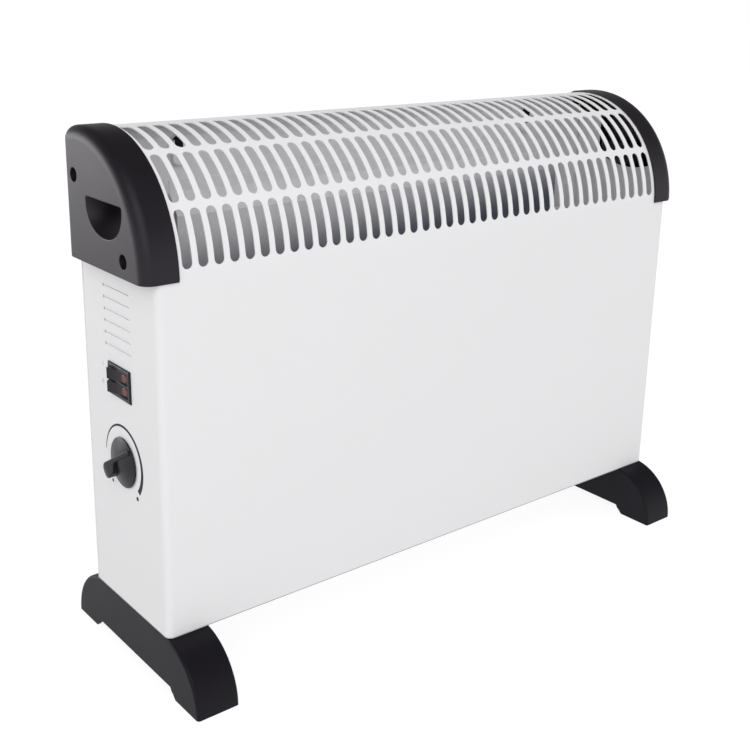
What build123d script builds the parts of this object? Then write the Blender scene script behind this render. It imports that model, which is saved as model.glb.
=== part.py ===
from build123d import *
import os
from math import acos, asin, cos, degrees, radians, sin, sqrt

# Convector heater: a folded sheet casing with a slotted, curved top, moulded end caps with
# handle pockets, two moulded feet, and a control side with a double rocker switch and a
# thermostat knob. Millimetres, +Z up, X along the casing, the front faces -Y.
# The origin is on the floor, under the middle of the casing.

os.makedirs("parts", exist_ok=True)

# Casing
casing_length = 515.0
casing_depth = 108.0
sheet = 0.8
fold_radius = 5.0
rear_fold_radius = 1.6
lip_width = 12.0
rear_flange = 14.0
straight_height = 253.3
lower_curve_radius = 93.6
lower_curve_angle = 30.6
upper_curve_radius = 87.3
rear_corner = 8.5
lower_curve_flats = 3
upper_curve_flats = 7
corner_flats = 3
rear_tail = 4.0

# Outlet slots in the curved top
slot_count = 40
slot_pitch = 12.0
slot_width = 7.6
slot_length = 39.0
slot_rows = 3
row_start = 8.3
row_pitch = 43.6

# Side walls above the fold, inside the end caps
tab_width = 26.0
tab_top = 323.0
notch_radius = 70.0
notch_from_front = 45.0
notch_bottom = 279.0

# Louvres in the control side
louvre_count = 6
louvre_pitch = 8.4
louvre_length = 38.4
louvre_height = 3.6
louvre_rise = 1.3
louvre_slit = 1.2
louvre_lip = 0.4
louvre_from_front = 55.5
louvre_middle = 218.0

# End caps
cap_bottom = 254.3
cap_width = 25.8
cap_overhang = 9.3
cap_lap = 1.6
cap_clearance = 0.1
cap_edge_radius = 9.0
cap_edge_steps = 3
cap_inner_edge = 6.0
pocket_from_front = 50.2
pocket_top = 300.8
pocket_radius = 25.4
pocket_inner_radius = 19.5
pocket_depth = 18.0
pocket_height = 24.4
pocket_inner_height = 9.0
pocket_wall = 1.8
well_radius = 4.9
well_wall = 1.8
well_floor = 2.6
cap_screw_places = [(25.5, 265.7), (92.8, 312.4)]

# Feet
foot_length = 183.6
foot_width = 33.0
foot_height = 44.5
foot_wall = 3.0
foot_roof = 3.0
foot_rib = 2.4
foot_edge = 1.0
foot_hollow_slope = 30.0
pad_length = 31.0
arch_height = 7.2
arch_slope = 7.0
arch_radius = 4.0
foot_boss_radius = 5.5
foot_boss_depth = 22.0
foot_screw_spacing = 60.0
foot_ribs = [-45.0, 0.0, 45.0]

# Bottom plate and its inlet slots
bottom_clearance = 0.2
inlet_count = 11
inlet_pitch = 32.0
inlet_width = 9.0
inlet_length = 34.0
inlet_row_spacing = 42.0

# Back panel
keyhole_spacing = 360.0
keyhole_height = 316.0
keyhole_radius = 4.5
keyhole_slot = 4.6
keyhole_rise = 9.0
back_vent_count = 9
back_vent_pitch = 30.0
back_vent_length = 18.0
back_vent_width = 5.0
back_vent_height = 52.0

# Reflector behind the heating element
reflector_top = 299.0
reflector_stand = 11.0
reflector_flange = 9.0
reflector_slope = 16.0
reflector_end_gap = 0.3

# Inner walls at the two ends of the hot chamber
control_wall_place = 70.0
end_wall_place = 42.0
inner_wall_top = 236.0
inner_wall_flange = 10.0
inner_wall_clearance = 0.3

# Heating element
rail_height = 12.0
rail_depth = 26.0
lower_rail = 52.0
upper_rail = 104.0
element_from_front = 44.0
board_thickness = 1.6
board_gap = 11.0
board_bar = 14.0
board_post = 12.0
board_windows = 4
board_end_gap = 0.3
wire_width = 2.2
wire_thickness = 0.7
wire_height = 34.0
wire_pitch = 28.0
wire_runs = 13

# Thermal cut-out
cutout_radius = 8.0
cutout_height = 9.0
cutout_plate_length = 28.0
cutout_plate_height = 10.0
cutout_from_left = 170.0
cutout_level = 168.0

# Thermostat, its shaft and its knob
dial_from_front = 55.2
dial_height = 114.0
thermostat_length = 34.0
thermostat_height = 30.0
thermostat_thickness = 20.0
bush_radius = 5.0
bush_length = 0.6
bush_clearance = 0.15
shaft_radius = 3.0
shaft_flat = 0.8
running_clearance = 0.05
shaft_depth = 12.0
shaft_end = 5.0
bore_end_gap = 0.3
knob_radius = 18.3
knob_gap = 1.0
knob_rim = 3.2
grip_half_length = 17.2
grip_half_width = 4.3
grip_tail_half_width = 2.4
grip_height = 9.2
grip_tail_height = 4.6
knob_rest_angle = -38.0

# Double rocker switch
switch_from_front = 55.9
switch_height = 173.3
bezel_length = 32.2
bezel_height = 23.6
bezel_thickness = 1.5
bezel_edge = 0.8
housing_length = 29.6
housing_height = 20.8
housing_depth = 19.0
housing_clearance = 0.2
rocker_pitch = 9.7
rocker_thickness = 8.0
rocker_side_gap = 0.2
rocker_radius = 13.2
rocker_well_gap = 0.3
rocker_pivot_depth = 2.6
rocker_face = 5.0
rocker_dish = 1.2
rocker_keel = 3.6
rocker_keel_half_width = 8.0
rocker_skirt_angle = 12.0
rocker_tilt = 11.0
pivot_radius = 1.6
pivot_length = 0.5
pivot_hole_depth = 0.55
well_depth = 8.4
lens_radius = 2.9
lens_seat = 1.4
lens_rise = 0.5
lens_place = 6.6
terminal_tab_length = 8.0
terminal_tab_width = 4.8
terminal_tab_thickness = 0.8
terminal_tab_pitch = 10.0
terminal_row_pitch = 9.7

# Terminal block and cord inlet
block_length = 34.0
block_width = 17.0
block_height = 15.0
block_from_left = 34.0
block_from_front = 70.0
block_ways = 3
block_pitch = 10.0
block_entry = 5.0
cord_from_left = 34.0
cord_height = 34.0
cord_hole_radius = 3.9
bush_flange_radius = 10.0
bush_flange_thickness = 5.0

# Planes and levels that the pieces share
left = -casing_length / 2
right = casing_length / 2
front = -casing_depth / 2
rear = casing_depth / 2
base = foot_height
fold = base + straight_height
wall_rear = rear - sheet
floor_top = base + 2 * sheet
lower_centre = (front + lower_curve_radius, fold)
curve_shift = lower_curve_radius - upper_curve_radius
upper_centre = (
    lower_centre[0] - curve_shift * cos(radians(lower_curve_angle)),
    lower_centre[1] + curve_shift * sin(radians(lower_curve_angle)),
)
lower_curve_length = radians(lower_curve_angle) * lower_curve_radius
corner_y = rear - rear_corner
corner_reach = corner_y - upper_centre[0]
corner_z = upper_centre[1] + sqrt((upper_curve_radius - rear_corner) ** 2 - corner_reach**2)
corner_angle = degrees(acos(corner_reach / (upper_curve_radius - rear_corner)))
seam = corner_z - rear_tail
cap_wall = cap_lap - cap_clearance
cap_face = left - cap_overhang
cap_floor = base + cap_bottom
well_seat = left - cap_clearance - well_floor
pocket_middle = (cap_face, front + pocket_from_front, base + pocket_top)
pocket_outer_middle = (cap_face, front + pocket_from_front, base + pocket_top + pocket_wall)
foot_screw_x = casing_length / 2 - foot_width / 2
foot_seat = foot_height - foot_boss_depth
foot_round_y = foot_length / 2 - foot_height
foot_hollow_y = foot_round_y + foot_hollow_slope / 3
chamber_left = left + control_wall_place
chamber_right = right - end_wall_place
chamber_middle = (chamber_left + chamber_right) / 2
chamber_length = chamber_right - chamber_left
reflector_rear = wall_rear - reflector_stand
inner_wall_rear = wall_rear - inner_wall_clearance
inner_wall_depth = casing_depth - 2 * sheet - 2 * inner_wall_clearance
element_y = front + element_from_front
rail_bottom = base + lower_rail
rail_top = base + upper_rail
board_height = rail_top - rail_bottom - 2 * sheet
board_middle = (rail_top + rail_bottom) / 2
board_window_pitch = (chamber_length - board_post) / board_windows
ribbon_start = chamber_middle - (wire_runs - 1) / 2 * wire_pitch + wire_pitch / 2
ribbon_top = board_middle + wire_height / 2 - wire_width / 2
ribbon_low = board_middle - wire_height / 2 + wire_width / 2
top_turns = range(wire_runs // 2)
low_turns = range((wire_runs - 1) // 2)
grip_rise = grip_height - grip_tail_height
switch_y = front + switch_from_front
pivot_x = left + rocker_pivot_depth
rocker_levels = [base + switch_height + side * rocker_pitch / 2 for side in (-1, 1)]
rocker_half_face = sqrt(rocker_radius**2 - rocker_face**2)
rocker_arc = rocker_skirt_angle + degrees(asin(rocker_face / rocker_radius))
skirt_reach = rocker_radius * cos(radians(rocker_skirt_angle))
skirt_drop = rocker_radius * sin(radians(rocker_skirt_angle))
dish_at_lens = rocker_dish * (1 - (lens_place / rocker_half_face) ** 2)
lens_level = rocker_face - dish_at_lens - lens_seat
block_x = left + block_from_left
block_y = front + block_from_front
inlet_x = left + cord_from_left
inlet_z = base + cord_height


def top_curve(inset):
    """The casing's top in the plane of depth and height: three tangent arcs, in short flats."""
    bend = 180 - lower_curve_angle
    points = []
    for centre, radius, start, end, flats in (
        (lower_centre, lower_curve_radius, 180, bend, lower_curve_flats),
        (upper_centre, upper_curve_radius, bend, corner_angle, upper_curve_flats),
        ((corner_y, corner_z), rear_corner, corner_angle, 0, corner_flats),
    ):
        for index in range(flats):
            angle = radians(start + (end - start) * index / flats)
            reach = radius - inset
            points.append((centre[0] + reach * cos(angle), centre[1] + reach * sin(angle)))
    Polyline(*points, (rear - inset, corner_z))


def end_outline(inset, bottom):
    """Closed outline of the casing's end, from a bottom level up to the curved top."""
    top_curve(inset)
    Polyline(
        (rear - inset, corner_z),
        (rear - inset, bottom),
        (front + inset, bottom),
        (front + inset, fold),
    )


def row_plane(row):
    """Plane square to the curved top at the middle of one row of slots."""
    along = row_start + row * row_pitch + slot_length / 2
    if along < lower_curve_length:
        centre, radius = lower_centre, lower_curve_radius
        angle = along / lower_curve_radius
    else:
        centre, radius = upper_centre, upper_curve_radius
        angle = radians(lower_curve_angle) + (along - lower_curve_length) / upper_curve_radius
    point = (0, centre[0] - radius * cos(angle), centre[1] + radius * sin(angle))
    return Plane(origin=point, x_dir=(1, 0, 0), z_dir=(0, -cos(angle), sin(angle)))


def side_plane(x, y, z):
    """Plane on a side wall, whose normal points out of the control side."""
    return Plane(origin=(x, y, z), x_dir=(0, -1, 0), z_dir=(-1, 0, 0))


def pocket_profile(wall):
    """Half section of the handle pocket, grown by a wall, from its axis outwards."""
    depth = pocket_depth + wall
    Polygon(
        (0, 0),
        (depth, 0),
        (depth, -pocket_inner_radius - 2 * wall),
        (0, -pocket_radius - 2 * wall),
        align=None,
    )


def pocket_floor(wall):
    """The region below the sloping floor of the handle pocket."""
    depth = pocket_depth + wall
    Polygon(
        (0, -pocket_height - 2 * wall),
        (depth, -pocket_inner_height - 2 * wall),
        (depth, -2 * pocket_radius),
        (0, -2 * pocket_radius),
        align=None,
    )


def inner_wall_profile(x, outwards):
    """Section of a chamber wall, with flanges turned away from the chamber."""
    low, high = floor_top, base + inner_wall_top
    flange = outwards * inner_wall_flange
    skin = outwards * sheet
    Polygon(
        (x, low),
        (x + flange, low),
        (x + flange, low + sheet),
        (x + skin, low + sheet),
        (x + skin, high - sheet),
        (x + flange, high - sheet),
        (x + flange, high),
        (x, high),
        align=None,
    )


def pointer_plane(height):
    """Plane across the knob's axis, at a height over the wall, turned to the pointer."""
    angle = radians(knob_rest_angle)
    place = dial_plane.offset(height).origin
    return Plane(origin=place, x_dir=(0, cos(angle), sin(angle)), z_dir=(-1, 0, 0))


def shaft_section(clearance):
    """Round section with one flat, for the shaft and for its hole in the knob."""
    Circle(shaft_radius + clearance)
    with Locations((0, shaft_radius - shaft_flat + clearance)):
        Rectangle(
            2 * bush_radius, bush_radius, align=(Align.CENTER, Align.MIN), mode=Mode.SUBTRACT
        )


def write(part, name):
    part.label = name
    export_step(part, f"parts/{name}.step")


# Front shell: front and side walls folded from one sheet, with the slotted, curved top
wall_depth = casing_depth - sheet
switch_plane = side_plane(left, front + switch_from_front, base + switch_height)
dial_plane = side_plane(left, front + dial_from_front, base + dial_height)

with BuildPart() as front_shell:
    # The curved top, narrower than the casing by the two folds
    with BuildSketch(Plane.YZ.offset(left + fold_radius)) as top_profile:
        with BuildLine():
            top_curve(0)
            top_curve(sheet)
            Line((front, fold), (front + sheet, fold))
            Polyline((rear, corner_z), (rear, seam), (rear - sheet, seam), (rear - sheet, corner_z))
        make_face()
    extrude(amount=casing_length - 2 * fold_radius)
    for row in range(slot_rows):
        with BuildSketch(row_plane(row)):
            with GridLocations(slot_pitch, slot_pitch, slot_count, 1):
                Rectangle(slot_width, slot_length)
        extrude(amount=fold_radius, both=True, mode=Mode.SUBTRACT)
    # Front and side walls, with a flange turned in at the rear of each side
    with BuildSketch(Plane.XY.offset(base)) as wall_plan:
        with Locations((0, -sheet / 2)):
            Rectangle(casing_length, wall_depth)
        fillet(wall_plan.vertices().group_by(Axis.Y)[0], radius=fold_radius)
        fillet(wall_plan.vertices().group_by(Axis.Y)[-1], radius=rear_fold_radius)
        offset(amount=-sheet, mode=Mode.SUBTRACT)
        with Locations((0, wall_rear)):
            Rectangle(casing_length - 2 * rear_flange, 4 * sheet, mode=Mode.SUBTRACT)
    extrude(amount=straight_height)
    # The lip turned in along the bottom of the front and the sides
    with BuildSketch(Plane.XY.offset(base)) as lip_plan:
        with Locations((0, -sheet / 2)):
            Rectangle(casing_length - sheet, wall_depth - sheet)
        fillet(lip_plan.vertices().group_by(Axis.Y)[0], radius=fold_radius - sheet / 2)
        with Locations((0, lip_width)):
            Rectangle(casing_length - 2 * lip_width, casing_depth, mode=Mode.SUBTRACT)
    extrude(amount=sheet)
    # The side walls carry on inside the end caps, under a shallow round notch
    for x in (left, right - sheet):
        with BuildSketch(Plane.YZ.offset(x)) as wall_profile:
            with BuildLine():
                end_outline(2 * sheet, fold - sheet)
            make_face()
            with Locations((front, fold)):
                Rectangle(2 * fold_radius, casing_depth, mode=Mode.SUBTRACT)
            with Locations((front + notch_from_front, base + notch_bottom + notch_radius)):
                Circle(notch_radius, mode=Mode.SUBTRACT)
            with Locations((rear - 2 * sheet, base + tab_top)):
                Rectangle(tab_width, tab_top - notch_bottom, align=(Align.MAX, Align.MAX))
        extrude(amount=sheet)
    # Cut-outs of the control side
    with BuildSketch(switch_plane):
        Rectangle(housing_length + 2 * housing_clearance, housing_height + 2 * housing_clearance)
    extrude(amount=2 * sheet, both=True, mode=Mode.SUBTRACT)
    with BuildSketch(dial_plane):
        Circle(bush_radius + bush_clearance)
    extrude(amount=2 * sheet, both=True, mode=Mode.SUBTRACT)
    # Louvres, pressed outwards above a slit
    louvre_levels = [
        base + louvre_middle + (index - (louvre_count - 1) / 2) * louvre_pitch
        for index in range(louvre_count)
    ]
    with BuildSketch(Plane.XZ.offset(-(front + louvre_from_front))):
        with Locations(*[(left, level) for level in louvre_levels]):
            Polygon(
                (0, 0),
                (0, louvre_height),
                (-louvre_rise, 0),
                (-louvre_rise, -louvre_lip),
                (-louvre_rise + sheet / 2, -louvre_lip),
                align=None,
            )
    extrude(amount=louvre_length / 2, both=True)
    with BuildSketch(side_plane(left, front + louvre_from_front, 0)):
        with Locations(*[(0, level) for level in louvre_levels]):
            Rectangle(louvre_length - 2 * sheet, louvre_slit, align=(Align.CENTER, Align.MAX))
    extrude(amount=-2 * sheet, mode=Mode.SUBTRACT)
write(front_shell.part, "front_shell")


# Back panel, which closes the rear below the seam of the curved top
with BuildPart() as back_panel:
    with BuildSketch(Plane.XZ.offset(-wall_rear)):
        with Locations((0, base)):
            Rectangle(casing_length, seam - base, align=(Align.CENTER, Align.MIN))
        for x in (-keyhole_spacing / 2, keyhole_spacing / 2):
            with Locations((x, base + keyhole_height)):
                Circle(keyhole_radius, mode=Mode.SUBTRACT)
            with Locations((x, base + keyhole_height + keyhole_rise / 2)):
                Rectangle(keyhole_slot, keyhole_rise, mode=Mode.SUBTRACT)
        with Locations((chamber_middle, base + back_vent_height)):
            with GridLocations(back_vent_pitch, 0, back_vent_count, 1):
                Rectangle(back_vent_length, back_vent_width, mode=Mode.SUBTRACT)
        with Locations((inlet_x, inlet_z)):
            Circle(cord_hole_radius, mode=Mode.SUBTRACT)
    extrude(amount=-sheet)
write(back_panel.part, "back_panel")

# Bottom plate, which lies on the lip of the shell
with BuildPart() as bottom_plate:
    with BuildSketch(Plane.XY.offset(base + sheet)) as plate_plan:
        with Locations((0, -sheet / 2)):
            Rectangle(
                casing_length - 2 * sheet - 2 * bottom_clearance,
                casing_depth - 3 * sheet - 2 * bottom_clearance,
            )
        fillet(
            plate_plan.vertices().group_by(Axis.Y)[0],
            radius=fold_radius - sheet - bottom_clearance,
        )
        with Locations((chamber_middle, 0)):
            with GridLocations(inlet_pitch, inlet_row_spacing, inlet_count, 2):
                Rectangle(inlet_width, inlet_length, mode=Mode.SUBTRACT)
    extrude(amount=sheet)
write(bottom_plate.part, "bottom_plate")

# The hollow of an end cap, with room for the casing that passes into it
with BuildPart() as cap_hollow:
    with BuildSketch(Plane.YZ.offset(cap_face + cap_wall)):
        with BuildLine():
            end_outline(-cap_clearance, fold - cap_wall)
        make_face()
        with Locations((0, cap_floor + cap_wall)):
            Rectangle(
                2 * casing_depth, casing_depth, align=(Align.CENTER, Align.MAX), mode=Mode.SUBTRACT
            )
    extrude(amount=cap_width)
    hollow_face = cap_hollow.faces().sort_by(Axis.X)[0]
    chamfer(hollow_face.edges().sort_by(Axis.Z)[1:], length=cap_inner_edge)
    with BuildSketch(Plane.YZ.offset(left - cap_clearance)):
        with Locations((0, cap_floor + cap_inner_edge)):
            Rectangle(
                casing_depth + 2 * cap_clearance,
                3 * cap_inner_edge,
                align=(Align.CENTER, Align.MAX),
            )
    extrude(amount=cap_width)

# The handle pocket, as the space that it takes up and as its hollow
with BuildPart() as pocket_shell:
    with BuildSketch(Plane(origin=pocket_outer_middle, z_dir=(0, 0, 1))):
        pocket_profile(pocket_wall)
    revolve(axis=Axis(pocket_outer_middle, (1, 0, 0)), revolution_arc=180)
    with BuildSketch(Plane(origin=pocket_outer_middle, z_dir=(0, -1, 0), x_dir=(1, 0, 0))):
        pocket_floor(pocket_wall)
    extrude(amount=casing_depth, both=True, mode=Mode.SUBTRACT)
with BuildPart() as pocket_hollow:
    with BuildSketch(Plane(origin=pocket_middle, z_dir=(0, 0, 1))):
        pocket_profile(0)
    revolve(axis=Axis(pocket_middle, (1, 0, 0)), revolution_arc=180)
    with BuildSketch(Plane(origin=pocket_middle, z_dir=(0, -1, 0), x_dir=(1, 0, 0))):
        pocket_floor(0)
    extrude(amount=casing_depth, both=True, mode=Mode.SUBTRACT)

# End caps
with BuildPart() as left_cap:
    # The rounded edge in a few strips, from the end face to the side walls
    for step in range(cap_edge_steps + 1):
        turn = radians(90 * step / cap_edge_steps)
        with BuildSketch(Plane.YZ.offset(cap_face + cap_edge_radius * (1 - cos(turn)))):
            with BuildLine():
                end_outline(cap_edge_radius * (1 - sin(turn)) - cap_lap, fold - cap_wall)
            make_face()
    loft(ruled=True)
    with BuildSketch(Plane.YZ.offset(cap_face + cap_edge_radius)):
        with BuildLine():
            end_outline(-cap_lap, fold - cap_wall)
        make_face()
    extrude(amount=cap_width - cap_edge_radius)
    with BuildSketch(Plane.YZ.offset(cap_face)):
        with Locations((0, cap_floor)):
            Rectangle(2 * casing_depth, casing_depth, align=(Align.CENTER, Align.MAX))
    extrude(amount=cap_width, mode=Mode.SUBTRACT)
    add(cap_hollow.part, mode=Mode.SUBTRACT)
    add(pocket_shell.part)
    add(pocket_hollow.part, mode=Mode.SUBTRACT)
    # Wells for the screws that hold the cap to the side wall
    with BuildSketch(Plane.YZ.offset(left - cap_clearance)):
        with Locations(*[(front + y, base + z) for y, z in cap_screw_places]):
            Circle(well_radius + well_wall)
    extrude(amount=cap_clearance - cap_overhang + cap_wall)
    with BuildSketch(Plane.YZ.offset(well_seat)):
        with Locations(*[(front + y, base + z) for y, z in cap_screw_places]):
            Circle(well_radius)
    extrude(amount=-cap_overhang, mode=Mode.SUBTRACT)
write(left_cap.part, "left_cap")

with BuildPart() as right_cap:
    mirror(left_cap.part, about=Plane.YZ)
write(right_cap.part, "right_cap")

# Feet, hollow from below, with ribs and screw bosses
with BuildPart() as left_foot:
    with BuildSketch(Plane.YZ.offset(left)) as foot_side:
        with BuildLine():
            Polyline(
                (-foot_length / 2, 0),
                (-foot_length / 2 + pad_length, 0),
                (-foot_length / 2 + pad_length + arch_slope, arch_height),
                (foot_length / 2 - pad_length - arch_slope, arch_height),
                (foot_length / 2 - pad_length, 0),
                (foot_length / 2, 0),
            )
            CenterArc((foot_round_y, 0), foot_height, 0, 90)
            Line((foot_round_y, foot_height), (-foot_round_y, foot_height))
            CenterArc((-foot_round_y, 0), foot_height, 90, 90)
        make_face()
        fillet(foot_side.vertices().group_by(Axis.Y)[1], radius=arch_radius)
    extrude(amount=foot_width)
    side_edges = left_foot.faces().sort_by(Axis.X)[0].edges()
    chamfer([edge for edge in side_edges if edge.center().Z > foot_height / 2], length=foot_edge)
    with BuildSketch(Plane.YZ.offset(left + foot_wall)):
        Polygon(
            (-foot_length / 2 + foot_wall, 0),
            (foot_length / 2 - foot_wall, 0),
            (foot_length / 2 - foot_wall, foot_roof),
            (foot_hollow_y, foot_height - foot_roof),
            (-foot_hollow_y, foot_height - foot_roof),
            (-foot_length / 2 + foot_wall, foot_roof),
            align=None,
        )
    extrude(amount=foot_width - 2 * foot_wall, mode=Mode.SUBTRACT)
    with Locations(*[(-foot_screw_x, y, arch_height + foot_rib) for y in foot_ribs]):
        Box(
            foot_width - foot_wall,
            foot_rib,
            foot_height - foot_roof / 2 - arch_height - foot_rib,
            align=(Align.CENTER, Align.CENTER, Align.MIN),
        )
    with BuildSketch(Plane.XY.offset(foot_seat)):
        with Locations((-foot_screw_x, 0)):
            with GridLocations(0, foot_screw_spacing, 1, 2):
                Circle(foot_boss_radius)
    extrude(amount=foot_boss_depth - foot_roof / 2)
write(left_foot.part, "left_foot")

with BuildPart() as right_foot:
    mirror(left_foot.part, about=Plane.YZ)
write(right_foot.part, "right_foot")

# Reflector, with a flange on the back panel and one on the bottom plate
with BuildPart() as reflector:
    with BuildSketch(Plane.YZ.offset(chamber_left + reflector_end_gap)):
        with BuildLine():
            Polyline(
                (wall_rear, base + reflector_top),
                (wall_rear, base + reflector_top - reflector_flange),
                (reflector_rear, base + reflector_top - reflector_flange - reflector_slope),
                (reflector_rear, floor_top + sheet),
                (reflector_rear + reflector_flange, floor_top + sheet),
            )
            offset(amount=sheet, side=Side.RIGHT, kind=Kind.INTERSECTION)
        make_face()
    extrude(amount=chamber_length - 2 * reflector_end_gap)
write(reflector.part, "reflector")

# Walls at the two ends of the hot chamber
with BuildPart() as control_wall:
    with BuildSketch(Plane.XZ.offset(-inner_wall_rear)):
        inner_wall_profile(chamber_left, -1)
    extrude(amount=inner_wall_depth)
write(control_wall.part, "control_wall")

with BuildPart() as end_wall:
    with BuildSketch(Plane.XZ.offset(-inner_wall_rear)):
        inner_wall_profile(chamber_right, 1)
    extrude(amount=inner_wall_depth)
write(end_wall.part, "end_wall")

# Rails that hold the heating element between the two walls
with BuildPart() as element_rails:
    with BuildSketch(Plane.YZ.offset(chamber_left)):
        for web, opening in ((rail_bottom, 1), (rail_top, -1)):
            with Locations((element_y, web + opening * rail_height / 2)):
                Rectangle(rail_depth, rail_height)
            with Locations((element_y, web + opening * (rail_height / 2 + sheet))):
                Rectangle(rail_depth - 2 * sheet, rail_height, mode=Mode.SUBTRACT)
    extrude(amount=chamber_length)
write(element_rails.part, "element_rails")

# Mica boards with windows, standing in the rails
with BuildPart() as mica_boards:
    for side in (-1, 1):
        with BuildSketch(Plane.XZ.offset(-(element_y + side * board_gap / 2))):
            with Locations((chamber_middle, board_middle)):
                Rectangle(chamber_length - 2 * board_end_gap, board_height)
                with GridLocations(board_window_pitch, 0, board_windows, 1):
                    Rectangle(
                        board_window_pitch - board_post,
                        board_height - 2 * board_bar,
                        mode=Mode.SUBTRACT,
                    )
        extrude(amount=-side * board_thickness)
write(mica_boards.part, "mica_boards")

# Heating ribbons on the outer faces of the boards
for side, name in ((-1, "heating_ribbon_front"), (1, "heating_ribbon_rear")):
    face_y = element_y + side * (board_gap / 2 + board_thickness)
    with BuildPart() as ribbon:
        with BuildSketch(Plane.XZ.offset(-face_y)):
            with Locations((chamber_middle, board_middle)):
                with GridLocations(wire_pitch, 0, wire_runs, 1):
                    Rectangle(wire_width, wire_height)
            for first, turns, level in ((0, top_turns, ribbon_top), (1, low_turns, ribbon_low)):
                links = [ribbon_start + (2 * turn + first) * wire_pitch for turn in turns]
                with Locations(*[(x, level) for x in links]):
                    Rectangle(wire_pitch + wire_width, wire_width)
        extrude(amount=-side * wire_thickness)
    write(ribbon.part, name)

# Thermal cut-out on the reflector
with BuildPart() as thermal_cutout:
    with BuildSketch(Plane.XZ.offset(-(reflector_rear - sheet))):
        with Locations((left + cutout_from_left, base + cutout_level)):
            Rectangle(cutout_plate_length, cutout_plate_height)
    extrude(amount=sheet)
    with BuildSketch(Plane.XZ.offset(-(reflector_rear - sheet))):
        with Locations((left + cutout_from_left, base + cutout_level)):
            Circle(cutout_radius)
    extrude(amount=cutout_height)
write(thermal_cutout.part, "thermal_cutout")

# Thermostat behind the control side, with its bush in the wall
with BuildPart() as thermostat_body:
    with BuildSketch(dial_plane.offset(-sheet)):
        Rectangle(thermostat_length, thermostat_height)
    extrude(amount=-thermostat_thickness)
    with BuildSketch(dial_plane.offset(-sheet)):
        Circle(bush_radius)
    extrude(amount=sheet + bush_length)
    with BuildSketch(dial_plane.offset(-shaft_depth - bore_end_gap)):
        Circle(shaft_radius + running_clearance)
    extrude(amount=2 * shaft_depth, mode=Mode.SUBTRACT)
write(thermostat_body.part, "thermostat_body")

with BuildPart() as thermostat_shaft:
    with BuildSketch(pointer_plane(-shaft_depth)):
        shaft_section(0)
    extrude(amount=shaft_depth + shaft_end)
write(thermostat_shaft.part, "thermostat_shaft")

# Knob: a flat disc with a grip that rises towards its pointer end
grip_plane = Plane(
    origin=dial_plane.origin, x_dir=pointer_plane(0).x_dir, z_dir=-pointer_plane(0).y_dir
)
with BuildPart() as knob:
    with BuildSketch(pointer_plane(knob_gap)):
        Circle(knob_radius)
    extrude(amount=knob_rim)
    with BuildSketch(pointer_plane(knob_gap + knob_rim / 2)):
        Polygon(
            (-grip_half_length, -grip_tail_half_width),
            (0, -grip_tail_half_width),
            (0.6 * grip_half_length, -grip_half_width),
            (grip_half_length, -0.8 * grip_half_width),
            (grip_half_length, 0.8 * grip_half_width),
            (0.6 * grip_half_length, grip_half_width),
            (0, grip_tail_half_width),
            (-grip_half_length, grip_tail_half_width),
            align=None,
        )
    extrude(amount=grip_height - knob_gap - knob_rim / 2)
    with BuildSketch(grip_plane):
        Polygon(
            (-2 * grip_half_length, grip_tail_height - 0.5 * grip_rise),
            (-grip_half_length, grip_tail_height),
            (0.5 * grip_half_length, grip_height),
            (grip_half_length, grip_height),
            (grip_half_length, 2 * grip_height),
            (-2 * grip_half_length, 2 * grip_height),
            align=None,
        )
    extrude(amount=knob_radius, both=True, mode=Mode.SUBTRACT)
    with BuildSketch(pointer_plane(0)):
        shaft_section(running_clearance)
    extrude(amount=shaft_end + running_clearance, mode=Mode.SUBTRACT)
write(knob.part, "knob")

# Double rocker switch: housing with two wells, two rockers with lenses, and its tabs
with BuildPart() as switch_housing:
    with BuildSketch(switch_plane):
        Rectangle(bezel_length, bezel_height)
    extrude(amount=bezel_thickness)
    chamfer(switch_housing.faces().sort_by(Axis.X)[0].edges(), length=bezel_edge)
    with BuildSketch(switch_plane):
        Rectangle(housing_length, housing_height)
    extrude(amount=-housing_depth)
    with BuildSketch(switch_plane.offset(-well_depth)):
        with GridLocations(0, rocker_pitch, 1, 2):
            Rectangle(
                2 * (rocker_radius + rocker_well_gap), rocker_thickness + 2 * rocker_side_gap
            )
    extrude(amount=housing_depth, mode=Mode.SUBTRACT)
    for z in rocker_levels:
        with BuildSketch(Plane.XY.offset(z)):
            with Locations((pivot_x, switch_y)):
                RegularPolygon(pivot_radius + running_clearance, 8, major_radius=False)
        extrude(
            amount=rocker_thickness / 2 + rocker_side_gap + pivot_hole_depth,
            both=True,
            mode=Mode.SUBTRACT,
        )
write(switch_housing.part, "switch_housing")

with BuildPart() as switch_tabs:
    with BuildSketch(switch_plane.offset(-housing_depth)):
        with GridLocations(terminal_tab_pitch, terminal_row_pitch, 3, 2):
            Rectangle(terminal_tab_thickness, terminal_tab_width)
    extrude(amount=-terminal_tab_length)
write(switch_tabs.part, "switch_tabs")

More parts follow.
